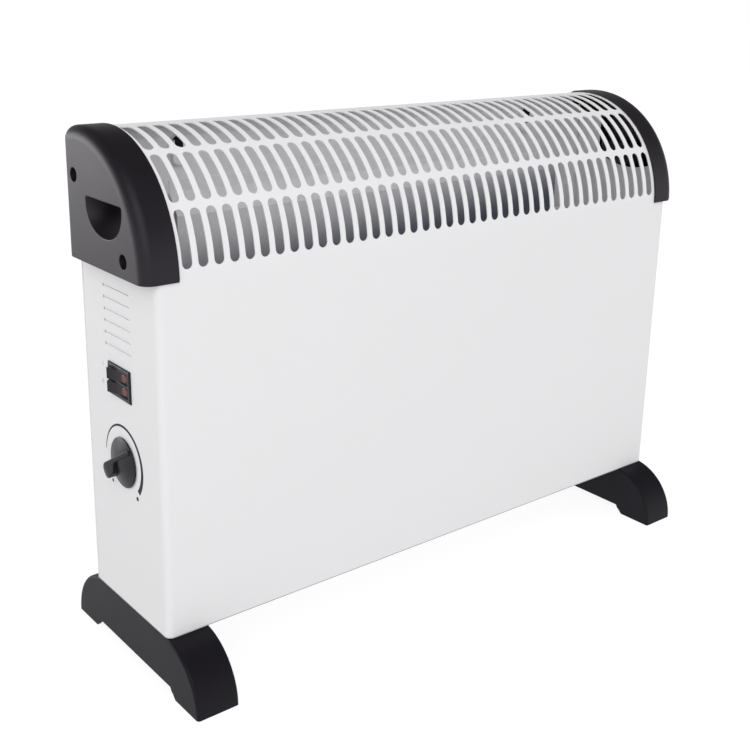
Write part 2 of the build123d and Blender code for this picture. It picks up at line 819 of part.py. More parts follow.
for z, name in zip(rocker_levels, ("lower", "upper")):
    rocker_plane = Plane(
        origin=(pivot_x, switch_y, z),
        x_dir=(-sin(radians(rocker_tilt)), cos(radians(rocker_tilt)), 0),
        z_dir=(0, 0, 1),
    )
    lens_plane = Plane(
        origin=rocker_plane.from_local_coords((-lens_place, lens_level, 0)),
        x_dir=rocker_plane.x_dir,
        z_dir=rocker_plane.y_dir,
    )
    with BuildPart() as rocker:
        with BuildSketch(rocker_plane):
            with BuildLine():
                CenterArc((0, 0), rocker_radius, -rocker_skirt_angle, rocker_arc)
                CenterArc((0, 0), rocker_radius, 180 + rocker_skirt_angle, -rocker_arc)
                ThreePointArc(
                    (-rocker_half_face, rocker_face),
                    (0, rocker_face - rocker_dish),
                    (rocker_half_face, rocker_face),
                )
                Polyline(
                    (-skirt_reach, -skirt_drop),
                    (-rocker_keel_half_width, -rocker_keel),
                    (rocker_keel_half_width, -rocker_keel),
                    (skirt_reach, -skirt_drop),
                )
            make_face()
        extrude(amount=rocker_thickness / 2, both=True)
        with BuildSketch(rocker_plane):
            RegularPolygon(pivot_radius, 8)
        extrude(amount=rocker_thickness / 2 + pivot_length, both=True)
        with BuildSketch(lens_plane):
            Circle(lens_radius + running_clearance)
        extrude(amount=rocker_radius, mode=Mode.SUBTRACT)
    write(rocker.part, f"rocker_{name}")
    with BuildPart() as lens:
        with BuildSketch(lens_plane):
            Circle(lens_radius)
        extrude(amount=lens_seat + lens_rise)
    write(lens.part, f"lens_{name}")

# Terminal block on the bottom plate
with BuildPart() as terminal_block:
    with Locations((block_x, block_y, floor_top)):
        Box(block_length, block_width, block_height, align=(Align.CENTER, Align.CENTER, Align.MIN))
    with BuildSketch(Plane.XZ.offset(-block_y)):
        with Locations((block_x, floor_top + block_entry)):
            with GridLocations(block_pitch, 0, block_ways, 1):
                Rectangle(block_entry, block_entry)
    extrude(amount=block_width, both=True, mode=Mode.SUBTRACT)
write(terminal_block.part, "terminal_block")

# Six-sided bush on the back panel, where the supply cord goes in
with BuildPart() as cord_bush:
    with BuildSketch(Plane.XZ.offset(-rear)):
        with Locations((inlet_x, inlet_z)):
            RegularPolygon(bush_flange_radius, 6)
            Circle(cord_hole_radius, mode=Mode.SUBTRACT)
    extrude(amount=-bush_flange_thickness)
write(cord_bush.part, "cord_bush")
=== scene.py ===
import bmesh
import bpy
from math import asin, atan2, cos, pi, radians, sin, sqrt
from mathutils import Matrix, Vector


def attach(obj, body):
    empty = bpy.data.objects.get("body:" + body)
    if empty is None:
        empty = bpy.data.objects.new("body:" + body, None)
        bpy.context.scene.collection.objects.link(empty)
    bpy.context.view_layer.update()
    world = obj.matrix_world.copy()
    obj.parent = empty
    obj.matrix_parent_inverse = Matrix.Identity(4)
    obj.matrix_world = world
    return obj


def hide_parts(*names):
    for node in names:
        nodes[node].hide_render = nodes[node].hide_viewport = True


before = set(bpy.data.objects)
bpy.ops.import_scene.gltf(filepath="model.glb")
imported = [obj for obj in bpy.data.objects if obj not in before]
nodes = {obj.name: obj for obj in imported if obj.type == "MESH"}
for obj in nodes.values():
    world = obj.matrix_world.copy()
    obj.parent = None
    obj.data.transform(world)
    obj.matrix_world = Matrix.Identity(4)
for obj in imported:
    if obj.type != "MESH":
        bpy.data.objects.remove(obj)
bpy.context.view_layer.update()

# Every length below is in millimetres, in the frame of the CAD: Z up, the front faces -Y.
# Pieces are scaled to metres when they are finished.

casing = {
    "left": -257.5, "right": 257.5, "front": -54.0, "rear": 54.0, "base": 44.5, "fold": 297.8,
    "sheet": 0.8, "foldRadius": 5.0, "rearFoldRadius": 1.6, "flange": 14.0, "lip": 12.0,
    "underCaps": 1.6, "foldSteps": 10, "rearFoldSteps": 6, "flatFrom": 10.0, "flatTo": 101.0,
    "topArcs": [  # centre depth, centre height, radius, first and last angle
        (39.6, 297.8, 93.6, 180.0, 149.4),
        (34.177, 301.007, 87.3, 149.4, 81.74),
        (45.5, 378.99, 8.5, 81.74, 0.0),
    ],
    "seam": 374.99,
}


class Wire:  # a socket that takes part in sums
    def __init__(self, graph, socket):
        self.graph, self.socket = graph, socket

    def maths(self, operation, other=0.0, swapped=False):
        pair = (other, self) if swapped else (self, other)
        return self.graph.add("ShaderNodeMath", {"operation": operation}, {0: pair[0], 1: pair[1]})

    def __add__(self, other):
        return self.maths("ADD", other)

    def __radd__(self, other):
        return self.maths("ADD", other, True)

    def __sub__(self, other):
        return self.maths("SUBTRACT", other)

    def __rsub__(self, other):
        return self.maths("SUBTRACT", other, True)

    def __mul__(self, other):
        return self.maths("MULTIPLY", other)

    def __rmul__(self, other):
        return self.maths("MULTIPLY", other, True)

    def __lt__(self, other):
        return self.maths("LESS_THAN", other)

    def largest(self, other):
        return self.maths("MAXIMUM", other)


class Graph:  # a node tree, for materials and for geometry
    def __init__(self, tree):
        self.tree = tree

    def add(self, kind, settings=None, values=None, out=0):
        node = self.tree.nodes.new(kind)
        for key, value in (settings or {}).items():
            if key == "stops":
                ramp = node.color_ramp
                while len(ramp.elements) < len(value):
                    ramp.elements.new(0.5)
                for element, (place, colour) in zip(ramp.elements, value):
                    element.position = place
                    element.color = (*colour, 1.0)
            else:
                setattr(node, key, value)
        for key, value in (values or {}).items():
            if isinstance(value, Wire):
                self.tree.links.new(value.socket, node.inputs[key])
            elif value is not None:
                node.inputs[key].default_value = value
        return Wire(self, node.outputs[out])

    def mix(self, share, first, second):  # colours only
        tint = {"data_type": "RGBA"}
        rgba = [v if isinstance(v, Wire) else (*v, 1.0) for v in (first, second)]
        return self.add("ShaderNodeMix", tint, {0: share, 6: rgba[0], 7: rgba[1]}, out=2)

    def noise(self, place, scale, detail=2.0, roughness=0.5, distortion=0.0):
        values = {
            "Vector": place, "Scale": scale, "Detail": detail, "Roughness": roughness,
            "Distortion": distortion,
        }
        return self.add("ShaderNodeTexNoise", None, values)

    def ramp(self, wire, *stops):
        return self.add("ShaderNodeValToRGB", {"stops": stops}, {0: wire})

    def part(self, vector, letter):  # one of a vector's three numbers
        return self.add("ShaderNodeSeparateXYZ", None, {0: vector}, letter)

    def facing(self, letter):  # one of the three for the direction that a face points in
        return self.part(self.add("ShaderNodeNewGeometry", out="True Normal"), letter)


def grey(level):
    return (level, level, level)


class Finish:  # a material on the Principled shader, with its object coordinates at hand
    def __init__(self, name, **fixed):
        self.material = bpy.data.materials.new(name)
        self.material.use_nodes = True
        self.graph = Graph(self.material.node_tree)
        self.shader = self.material.node_tree.nodes["Principled BSDF"]
        self.place = self.graph.add("ShaderNodeTexCoord", out="Object")
        for label, value in fixed.items():
            self.shader.inputs[label.replace("_", " ")].default_value = value

    def feed(self, label, wire):
        self.graph.tree.links.new(wire.socket, self.shader.inputs[label])

    def bump(self, height, strength, depth):  # depth in metres
        values = {"Height": height, "Strength": strength, "Distance": depth}
        self.feed("Normal", self.graph.add("ShaderNodeBump", None, values))


paintLook = {
    "front": (0.836, 0.832, 0.848), "frontWarm": (0.815, 0.812, 0.820),
    "back": (0.826, 0.822, 0.836), "backWarm": (0.810, 0.806, 0.815),
    "roughness": 0.36, "backRoughness": 0.38, "cloud": 9.0, "peel": 620.0, "speck": 2600.0,
    "relief": 0.22, "backRelief": 0.20, "depth": 0.00006,
    # The grey colour below, with its top level and share, is painted shade along the bottom edge
    "paintedEdgeShade": (0.40, 0.40, 0.42), "paintedEdgeShadeTop": 0.0453, "paintedEdgeShadeShare": 0.85,
}


def paintGrain(made):  # slow clouds and the fine dimples of a baked coat
    cloud = made.graph.noise(made.place, paintLook["cloud"], 3.0)
    peel = made.graph.noise(made.place, paintLook["peel"], 2.0, 0.55)
    return cloud, peel


def powderCoat():
    made = Finish("whitePowderCoat", IOR=1.48)
    g, place = made.graph, made.place
    cloud, peel = paintGrain(made)
    speck = g.noise(place, paintLook["speck"], 1.0)
    # Painted shade: a grey line along the bottom edge, kept off the faces turned down
    paintedEdgeShade = (g.part(place, "Z") < paintLook["paintedEdgeShadeTop"]) * (1 - (g.facing("Z") < -0.5))
    coat = g.mix(0.6 * cloud, paintLook["front"], paintLook["frontWarm"])
    made.feed("Base Color", g.mix(paintLook["paintedEdgeShadeShare"] * paintedEdgeShade, coat, paintLook["paintedEdgeShade"]))
    made.feed("Roughness", paintLook["roughness"] + peel * 0.07 + cloud * 0.03 + paintedEdgeShade * 0.1)
    made.bump(peel + speck * 0.18, paintLook["relief"], paintLook["depth"])
    return made.material


zincLook = {
    "dark": (0.90, 0.90, 0.93), "light": (0.96, 0.96, 0.98), "grain": 210.0, "frost": 420.0,
    "roughness": 0.40, "metal": 0.1, "relief": 0.12, "depth": 0.00005,
    # The next colour and levels paint shade on the reflector: darker low down, and further up towards
    # the right-hand end
    "paintedShade": (0.12, 0.13, 0.17), "paintedShadeTo": 0.272, "clearFrom": 0.330, "slope": 0.0875,
    "ragged": 0.006,
}


def spangle(made):  # the colour of zinc, its crystals and the frost over them
    g, place = made.graph, made.place
    values = {"Vector": place, "Scale": zincLook["grain"]}
    cells = g.add("ShaderNodeTexVoronoi", None, values, "Color")
    crystal = g.add("ShaderNodeSeparateColor", None, {0: cells})
    frost = g.noise(place, zincLook["frost"], 4.0, 0.6, 0.4)
    colour = g.mix(crystal * 0.35 + frost * 0.4, zincLook["dark"], zincLook["light"])
    return colour, crystal, frost


def galvanised(name="galvanisedSheet", paintedShade=False):
    made = Finish(name, Metallic=zincLook["metal"])
    g = made.graph
    colour, crystal, frost = spangle(made)
    if paintedShade:  # painted shade: darker low down, and further up at the right-hand end
        along, level = g.part(made.place, "X"), g.part(made.place, "Z")
        clear = g.add("ShaderNodeMapRange", {"interpolation_type": "SMOOTHSTEP"}, {
            "Value": level - along * zincLook["slope"] + frost * zincLook["ragged"],
            "From Min": zincLook["paintedShadeTo"], "From Max": zincLook["clearFrom"],
        })
        colour = g.mix(clear, zincLook["paintedShade"], colour)
    made.feed("Base Color", colour)
    made.feed("Roughness", zincLook["roughness"] + crystal * 0.05 + frost * 0.10)
    made.bump(frost + crystal * 0.2, zincLook["relief"], zincLook["depth"])
    return made.material


def backSheet():  # painted outside, bare zinc on the faces turned inwards
    made = Finish("backSheet")
    g = made.graph
    bareZinc, _, frost = spangle(made)
    cloud, peel = paintGrain(made)
    bare = g.facing("Y") < -0.5
    coat = g.mix(cloud, paintLook["back"], paintLook["backWarm"])
    made.feed("Base Color", g.mix(bare, coat, bareZinc))
    made.feed("Roughness", paintLook["backRoughness"] + peel * 0.07 + bare * frost * 0.1)
    made.feed("Metallic", bare * zincLook["metal"])
    made.bump(peel, paintLook["backRelief"], paintLook["depth"])
    return made.material


plasticLook = {
    "capPlastic": {
        "colour": (0.0078, 0.0058, 0.0088), "paler": (0.0130, 0.0100, 0.0145), "roughness": 0.42,
        "shine": 0.38,
    },
    "footPlastic": {
        "colour": (0.0050, 0.0044, 0.0066), "paler": (0.0088, 0.0078, 0.0115), "roughness": 0.46,
        "shine": 0.20,
    },
    "knobPlastic": {
        "colour": (0.0070, 0.0060, 0.0090), "paler": (0.0125, 0.0108, 0.0155), "roughness": 0.34,
        "grain": 2400.0, "shine": 0.30,
    },
    "switchPlastic": {
        "colour": (0.0075, 0.0062, 0.0080), "paler": (0.0125, 0.0105, 0.0130), "roughness": 0.26,
        "grain": 3000.0, "relief": 0.12, "shine": 0.30,
    },
    "bakelite": {
        "colour": (0.035, 0.024, 0.018), "paler": (0.065, 0.045, 0.035), "roughness": 0.32,
        "grain": 900.0, "relief": 0.15,
    },
    "blockPlastic": {
        "colour": (0.66, 0.64, 0.57), "paler": (0.74, 0.72, 0.65), "roughness": 0.40,
        "grain": 1100.0, "relief": 0.12, "shine": 0.50,
    },
}
plasticSkin = {"tint": (0.96, 0.90, 1.0, 1.0), "fine": 2.6, "cloud": 22.0, "depth": 0.00005}


def mouldedPlastic(name, colour, paler, roughness, grain=1500.0, relief=0.30, shine=0.25):
    made = Finish(name, IOR=1.5, Specular_IOR_Level=shine, Specular_Tint=plasticSkin["tint"])
    g, place = made.graph, made.place
    pits = g.noise(place, grain, 3.0, 0.62)
    fine = g.noise(place, grain * plasticSkin["fine"], 1.0)
    cloud = g.noise(place, plasticSkin["cloud"], 3.0)
    sheen = g.ramp(cloud, (0.35, grey(0.0)), (0.68, grey(1.0)))
    made.feed("Base Color", g.mix(sheen * 0.55 + pits * 0.25, colour, paler))
    made.feed("Roughness", roughness + pits * 0.12 - cloud * 0.05)
    made.bump(pits + fine * 0.4, relief, plasticSkin["depth"])
    return made.material


lensLook = {
    "dark": (0.060, 0.006, 0.009), "light": (0.20, 0.020, 0.024), "ribPitch": 0.0009,
    "glowDark": (0.02, 0.001, 0.002), "glowLight": (0.05, 0.003, 0.004), "glow": 0.6,
}


def redLens():
    made = Finish("redLens", Roughness=0.22, Coat_Weight=0.25, Coat_Roughness=0.12,
                  Emission_Strength=lensLook["glow"])
    g, place = made.graph, made.place
    turn = g.part(place, "Y") * (2 * pi / lensLook["ribPitch"])
    ribs = g.add("ShaderNodeMath", {"operation": "SINE"}, {0: turn})
    depth = g.noise(place, 700.0, 2.0)
    made.feed("Base Color", g.mix(depth + ribs * 0.12, lensLook["dark"], lensLook["light"]))
    made.feed("Emission Color", g.mix(depth, lensLook["glowDark"], lensLook["glowLight"]))
    made.bump(ribs, 0.15, 0.0001)
    return made.material


micaLook = {
    "dark": (0.30, 0.245, 0.17), "light": (0.60, 0.54, 0.43), "flakes": 160.0, "veins": 60.0,
    "roughness": 0.34, "relief": 0.2, "depth": 0.00008,
}


def mica():
    made = Finish("micaBoard", IOR=1.56, Coat_Weight=0.25, Coat_Roughness=0.3)
    g, place = made.graph, made.place
    values = {"Vector": place, "Scale": micaLook["flakes"]}
    cells = g.add("ShaderNodeTexVoronoi", None, values, "Color")
    flakes = g.add("ShaderNodeSeparateColor", None, {0: cells})
    veins = g.noise(place, micaLook["veins"], 5.0, 0.65, 1.2)
    made.feed("Base Color", g.mix(flakes * 0.5 + veins * 0.5, micaLook["dark"], micaLook["light"]))
    made.feed("Roughness", micaLook["roughness"] + veins * 0.2)
    made.bump(flakes + veins, micaLook["relief"], micaLook["depth"])
    return made.material


metalLook = {  # drawn lines run along the axis that is stretched least
    "turnedSteel": {"dark": (0.46, 0.46, 0.47), "light": (0.68, 0.68, 0.69), "roughness": 0.22},
    "screwSteel": {"dark": (0.50, 0.50, 0.50), "light": (0.74, 0.73, 0.70), "roughness": 0.24},
    "stampedBrass": {"dark": (0.58, 0.43, 0.19), "light": (0.80, 0.64, 0.32), "roughness": 0.24},
    "ribbonAlloy": {
        "dark": (0.24, 0.21, 0.20), "light": (0.47, 0.43, 0.40), "roughness": 0.34,
        "stretch": (900.0, 900.0, 60.0),
    },
}


def plainMetal(name, dark, light, roughness, stretch=(30.0, 900.0, 900.0)):
    made = Finish(name, Metallic=1.0)
    g, place = made.graph, made.place
    drawn = g.add("ShaderNodeVectorMath", {"operation": "MULTIPLY"}, {0: place, 1: stretch})
    lines = g.noise(drawn, 1.0, 4.0, 0.6)
    tarnish = g.noise(place, 70.0, 4.0, 0.6)
    made.feed("Base Color", g.mix(lines * 0.4 + tarnish * 0.6, dark, light))
    made.feed("Roughness", roughness + tarnish * 0.18)
    made.bump(lines, 0.12, 0.00004)
    return made.material


inkLook = {
    "blackPrint": (0.022, 0.021, 0.030), "greyPrint": (0.33, 0.33, 0.36), "grain": 1900.0,
    "worn": 1.5, "lift": 0.01, "roughness": 0.45,
}


def printedInk(name):
    made = Finish(name, IOR=1.45, Specular_IOR_Level=0.12)
    ink = inkLook[name]
    worn = [min(1.0, level * inkLook["worn"] + inkLook["lift"]) for level in ink]
    wear = made.graph.noise(made.place, inkLook["grain"], 3.0, 0.6)
    made.feed("Base Color", made.graph.mix(wear, ink, worn))
    made.feed("Roughness", inkLook["roughness"] + wear * 0.15)
    made.bump(wear, 0.1, 0.00002)
    return made.material


paint = powderCoat()
zinc = galvanised()
# The reflector carries painted shade, darker low down and towards the right-hand end
reflectorZinc = galvanised("reflectorSheet", True)
backZinc = backSheet()
capPlastic, footPlastic, knobPlastic, switchPlastic, bakelite, blockPlastic = (
    mouldedPlastic(name, **look) for name, look in plasticLook.items()
)
lensRed = redLens()
micaBoard = mica()
steel, screwSteel, brass, ribbonAlloy = (
    plainMetal(name, **look) for name, look in metalLook.items()
)
blackPrint, greyPrint = printedInk("blackPrint"), printedInk("greyPrint")
print("materials made")


def quarter(steps):  # angles from 0 to a quarter turn
    return [pi / 2 * i / steps for i in range(steps + 1)]


def topCurve(inset=0.0, turn=2.0, fewest=8):  # depth and height, with a point each few degrees
    points = []
    for y, z, radius, first, last in casing["topArcs"]:
        steps = max(fewest, round((first - last) / turn))
        for step in range(steps):
            angle = radians(first + (last - first) * step / steps)
            points.append((y + (radius - inset) * cos(angle), z + (radius - inset) * sin(angle)))
    corner = casing["topArcs"][-1]
    points.append((casing["rear"] - inset, corner[1]))
    return points


def bridge(bm, rings, closed=True):  # quads between rows of vertices that match
    count = len(rings[0])
    for near, far in zip(rings, rings[1:]):
        for i in range(count if closed else count - 1):
            j = (i + 1) % count
            quad = [near[i], near[j], far[j], far[i]]
            if len(set(quad)) == 4:
                bm.faces.new(quad)


def rowsOf(bm, lists):  # a row of vertices for each list of points
    return [[bm.verts.new(point) for point in points] for points in lists]


def fillLoops(bm, loops):  # one flat face set, the first loop outside and the rest as holes
    edges = []
    for loop in loops:
        for first, second in zip(loop, loop[1:] + loop[:1]):
            edges.append(bm.edges.get((first, second)) or bm.edges.new((first, second)))
    bmesh.ops.triangle_fill(bm, use_beauty=True, use_dissolve=False, edges=edges)


def circle(y, z, radius, count):  # points round a centre, from the side and anticlockwise
    angles = [2 * pi * i / count for i in range(count)]
    return [(y + radius * cos(angle), z + radius * sin(angle)) for angle in angles]


def turned(levels, steps):  # rings round the Z axis, from pairs of height and radius
    return [[(x, y, z) for x, y in circle(0, 0, radius, steps)] for z, radius in levels]


def box(y, z, width, height):
    dy, dz = width / 2, height / 2
    return [(y - dy, z - dz), (y + dy, z - dz), (y + dy, z + dz), (y - dy, z + dz)]


def ease(share):  # a smooth step from 0 to 1
    share = min(1.0, max(0.0, share))
    return share * share * (3 - 2 * share)


def turnFaces(bm, faces, axis, sign):  # all faces over if the given ones don't point that way
    if sum(face.normal[axis] * face.calc_area() for face in faces) * sign < 0:
        bmesh.ops.reverse_faces(bm, faces=bm.faces)


def bakedMesh(obj):  # the object with its modifiers, as a plain mesh
    bpy.context.view_layer.update()
    graph = bpy.context.evaluated_depsgraph_get()
    mesh = bpy.data.meshes.new_from_object(obj.evaluated_get(graph), depsgraph=graph)
    old = obj.data
    bpy.data.objects.remove(obj)
    if isinstance(old, bpy.types.Mesh) and old.users == 0:
        bpy.data.meshes.remove(old)
    return mesh


def meshObject(name, mesh):
    mesh.name = name
    obj = bpy.data.objects.new(name, mesh)
    bpy.context.scene.collection.objects.link(obj)
    return obj


def looseObject(name, bm):
    mesh = bpy.data.meshes.new(name)
    bm.to_mesh(mesh)
    bm.free()
    return meshObject(name, mesh)


toMetres = 0.001
touching = 0.01  # millimetres within which a point lies on a face
joined = 1e-6  # metres within which a CAD piece's loose points are one
bevelFrom = 38.0  # degrees between two faces, from which an edge is softened


def finishPiece(name, source, material, slot, replaced=(), body="casing", shell=0.0, edge=0.0,
                edgeSteps=2, crease=32.0, scale=toMetres, even=True):
    obj = source if isinstance(source, bpy.types.Object) else looseObject(name, source)
    if edge:
        soft = obj.modifiers.new("edge", "BEVEL")
        soft.width, soft.segments = edge, edgeSteps
        soft.limit_method, soft.angle_limit = "ANGLE", radians(bevelFrom)
        soft.use_clamp_overlap = True
    if shell:
        wall = obj.modifiers.new("wall", "SOLIDIFY")
        wall.thickness, wall.offset, wall.use_even_offset = shell, -1.0, even
    mesh = bakedMesh(obj)
    mesh.transform(Matrix.Scale(scale, 4))
    mesh.materials.clear()
    mesh.materials.append(material)
    for polygon in mesh.polygons:
        polygon.material_index = 0
    mesh.shade_smooth()
    mesh.set_sharp_from_angle(angle=radians(crease))
    piece = meshObject(name, mesh)
    weigh = piece.modifiers.new("weigh", "WEIGHTED_NORMAL")
    weigh.keep_sharp = True
    piece = meshObject(name, bakedMesh(piece))
    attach(piece, body)
    if replaced:
        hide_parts(*replaced)
    return piece


def mirrored(bm):  # a copy for the other end, its faces turned outwards again
    other = bm.copy()
    for vertex in other.verts:
        vertex.co.x = -vertex.co.x
    bmesh.ops.reverse_faces(other, faces=other.faces)
    return other


def geometryTree(name, inputs):
    group = bpy.data.node_groups.new(name, "GeometryNodeTree")
    group.interface.new_socket("Geometry", in_out="OUTPUT", socket_type="NodeSocketGeometry")
    group.interface.new_socket("Geometry", in_out="INPUT", socket_type="NodeSocketGeometry")
    for label, kind in inputs.items():
        group.interface.new_socket(label, in_out="INPUT", socket_type="NodeSocket" + kind)
    graph = Graph(group)
    start = group.nodes.new("NodeGroupInput")
    wires = {socket.name: Wire(graph, socket) for socket in start.outputs if socket.name}
    return graph, wires


def endTree(graph, geometry, material):
    real = graph.add("GeometryNodeRealizeInstances", None, {0: geometry})
    done = graph.add("GeometryNodeSetMaterial", None, {"Geometry": real, "Material": material})
    end = graph.tree.nodes.new("NodeGroupOutput")
    graph.tree.links.new(done.socket, end.inputs[0])


def useTree(obj, graph, values):
    modifier = obj.modifiers.new("copies", "NODES")
    modifier.node_group = graph.tree
    for item in graph.tree.interface.items_tree:
        if item.in_out == "INPUT" and item.name in values:
            modifier[item.identifier] = values[item.name]
    return obj


# Copies in a straight line
lineGraph, lineIn = geometryTree(
    "copiesInLine", {"Count": "Int", "Start": "Vector", "Step": "Vector", "Material": "Material"}
)
linePoints = lineGraph.add(
    "GeometryNodeMeshLine", {"mode": "OFFSET"},
    {"Count": lineIn["Count"], "Start Location": lineIn["Start"], "Offset": lineIn["Step"]},
)
lineCopies = lineGraph.add(
    "GeometryNodeInstanceOnPoints", None, {"Points": linePoints, "Instance": lineIn["Geometry"]}
)
endTree(lineGraph, lineCopies, lineIn["Material"])

# Copies of another object on this object's points, all turned the same way
pointGraph, pointIn = geometryTree(
    "copiesOnPoints", {"Copied": "Object", "Turn": "Rotation", "Material": "Material"}
)
pointShape = pointGraph.add(
    "GeometryNodeObjectInfo", None, {"Object": pointIn["Copied"]}, out="Geometry"
)
pointCopies = pointGraph.add(
    "GeometryNodeInstanceOnPoints", None,
    {"Points": pointIn["Geometry"], "Instance": pointShape, "Rotation": pointIn["Turn"]},
)
endTree(pointGraph, pointCopies, pointIn["Material"])


def copiesInLine(name, bm, count, start, step, material):
    values = {"Count": count, "Start": start, "Step": step, "Material": material}
    return useTree(looseObject(name, bm), lineGraph, values)


def copiesOnPoints(name, points, shape, turn, material):
    bm = bmesh.new()
    for point in points:
        bm.verts.new(point)
    values = {"Copied": shape, "Turn": turn, "Material": material}
    return useTree(looseObject(name, bm), pointGraph, values)


# Front wall and slotted top: a flat sheet with one slot cell repeated, bent along the side's outline
slots = {
    "columns": 40, "rows": 3, "pitch": 12.0, "rowPitch": 43.6, "width": 7.6, "length": 39.0,
    "firstRow": 8.3, "plainEdge": 246.0, "endSteps": 8, "sideSteps": 8, "columnWidth": 3.0,
    "belowFold": 1.5, "bendSteps": 4, "cornerSteps": 10, "weld": 0.01,
}
wallHeight = casing["fold"] - casing["base"]
arcLengths = [radians(first - last) * radius for _, _, radius, first, last in casing["topArcs"]]
bendEnd, cornerEnd = sum(arcLengths[:2]), sum(arcLengths)
sheetEnd = cornerEnd + casing["topArcs"][-1][1] - casing["seam"]
slotRadius = slots["width"] / 2
slotStraight = slots["length"] / 2 - slotRadius
cellHalf = (slots["pitch"] / 2, slots["rowPitch"] / 2)
shoulder = (slotStraight + cellHalf[1]) / 2
rowMiddle = slots["firstRow"] + slots["length"] / 2


def slotCell():
    bm = bmesh.new()
    inner, outer = [], []
    # Right side upwards, then round the upper end; the lower half is the same turned round
    for step in range(slots["sideSteps"]):
        level = -slotStraight + 2 * slotStraight * step / slots["sideSteps"]
        inner.append((slotRadius, level))
        outer.append((cellHalf[0], level))
    border = [(1, slotStraight), (1, shoulder)]
    border += [(1 - 0.5 * i, cellHalf[1]) for i in range(5)] + [(-1, shoulder)]
    for step in range(slots["endSteps"]):
        angle = pi * step / slots["endSteps"]
        inner.append((slotRadius * cos(angle), slotStraight + slotRadius * sin(angle)))
        outer.append((cellHalf[0] * border[step][0], border[step][1]))
    inner += [(-x, -y) for x, y in inner]
    outer += [(-x, -y) for x, y in outer]
    bridge(bm, rowsOf(bm, [[(x, y, 0) for x, y in ring] for ring in (inner, outer)]))
    bmesh.ops.recalc_face_normals(bm, faces=bm.faces)
    turnFaces(bm, bm.faces, 2, 1)
    return bm


def flatGrid(bm, columns, levels):
    bridge(bm, rowsOf(bm, [[(x, level, 0) for x in columns] for level in levels]), closed=False)


def plainSheet():  # the parts of the flat sheet with no slots
    bm = bmesh.new()
    half, width = slots["columns"] * slots["pitch"] / 2, slots["columnWidth"]
    columns = [-half + width * i for i in range(int(2 * half / width) + 1)]
    slotStart = rowMiddle - cellHalf[1]
    slotEnd = slotStart + slots["rows"] * slots["rowPitch"]
    lower = [-wallHeight, -slots["belowFold"], 0.0, slotStart / 2, slotStart]
    bend, corner = slots["bendSteps"], slots["cornerSteps"]
    upper = [slotEnd + (bendEnd - slotEnd) * i / bend for i in range(bend)]
    upper += [bendEnd + (cornerEnd - bendEnd) * i / corner for i in range(corner + 1)] + [sheetEnd]
    middle, steps = [], slots["sideSteps"]
    sides = [-slotStraight + 2 * slotStraight * i / steps for i in range(steps + 1)]
    for row in range(slots["rows"]):
        centre = rowMiddle + row * slots["rowPitch"]
        middle += [centre + s for s in (-cellHalf[1], -shoulder, *sides, shoulder)]
    flatGrid(bm, columns, lower)
    flatGrid(bm, columns, upper)
    everyLevel = lower[:-1] + middle + upper
    for edge in ((-slots["plainEdge"], -half), (half, slots["plainEdge"])):
        flatGrid(bm, edge, everyLevel)
    return bm


def sideCurve():  # the line that the sheet is bent along, from the bottom of the front wall
    points = [(casing["front"], casing["base"])] + topCurve(0.0, 1.0)
    points.append((casing["rear"], casing["seam"]))
    data = bpy.data.curves.new("sideCurve", "CURVE")
    data.dimensions = "3D"
    line = data.splines.new("POLY")
    line.points.add(len(points) - 1)
    for point, (y, z) in zip(line.points, points):
        point.co = (0, y, z, 1)
    obj = bpy.data.objects.new("sideCurve", data)
    bpy.context.scene.collection.objects.link(obj)
    return obj


sheetGraph, sheetIn = geometryTree("bentSlottedSheet", {
    "Columns": "Int", "Rows": "Int", "Pitch": "Float", "Row Pitch": "Float", "Middle": "Float",
    "Wall Height": "Float", "Weld": "Float", "Cell": "Object", "Bend Along": "Object",
    "Material": "Material",
})
sheetPoints = sheetGraph.add("GeometryNodeMeshGrid", None, {
    "Size X": (sheetIn["Columns"] - 1) * sheetIn["Pitch"],
    "Size Y": (sheetIn["Rows"] - 1) * sheetIn["Row Pitch"],
    "Vertices X": sheetIn["Columns"], "Vertices Y": sheetIn["Rows"],
})
sheetLift = sheetGraph.add("ShaderNodeCombineXYZ", None, {"Y": sheetIn["Middle"]})
sheetPlaced = sheetGraph.add(
    "GeometryNodeSetPosition", None, {"Geometry": sheetPoints, "Offset": sheetLift}
)
sheetCell = sheetGraph.add("GeometryNodeObjectInfo", None, {"Object": sheetIn["Cell"]}, "Geometry")
sheetCells = sheetGraph.add(
    "GeometryNodeInstanceOnPoints", None, {"Points": sheetPlaced, "Instance": sheetCell}
)
sheetReal = sheetGraph.add("GeometryNodeRealizeInstances", None, {0: sheetCells})
sheetJoin = sheetGraph.tree.nodes.new("GeometryNodeJoinGeometry")
for part in (sheetReal, sheetIn["Geometry"]):
    sheetGraph.tree.links.new(part.socket, sheetJoin.inputs[0])
sheetWhole = sheetGraph.add("GeometryNodeMergeByDistance", None, {
    "Geometry": Wire(sheetGraph, sheetJoin.outputs[0]), "Distance": sheetIn["Weld"],
})
sheetFlat = sheetGraph.add("GeometryNodeInputPosition")
sheetLine = sheetGraph.add(
    "GeometryNodeObjectInfo", None, {"Object": sheetIn["Bend Along"]}, "Geometry"
)
sheetSample = sheetGraph.add("GeometryNodeSampleCurve", {"mode": "LENGTH"}, {
    "Curves": sheetLine, "Length": sheetGraph.part(sheetFlat, "Y") + sheetIn["Wall Height"],
}, out="Position")
sheetSpot = sheetGraph.add("ShaderNodeCombineXYZ", None, {
    "X": sheetGraph.part(sheetFlat, "X"), "Y": sheetGraph.part(sheetSample, "Y"),
    "Z": sheetGraph.part(sheetSample, "Z"),
})
sheetBent = sheetGraph.add(
    "GeometryNodeSetPosition", None, {"Geometry": sheetWhole, "Position": sheetSpot}
)
endTree(sheetGraph, sheetBent, sheetIn["Material"])

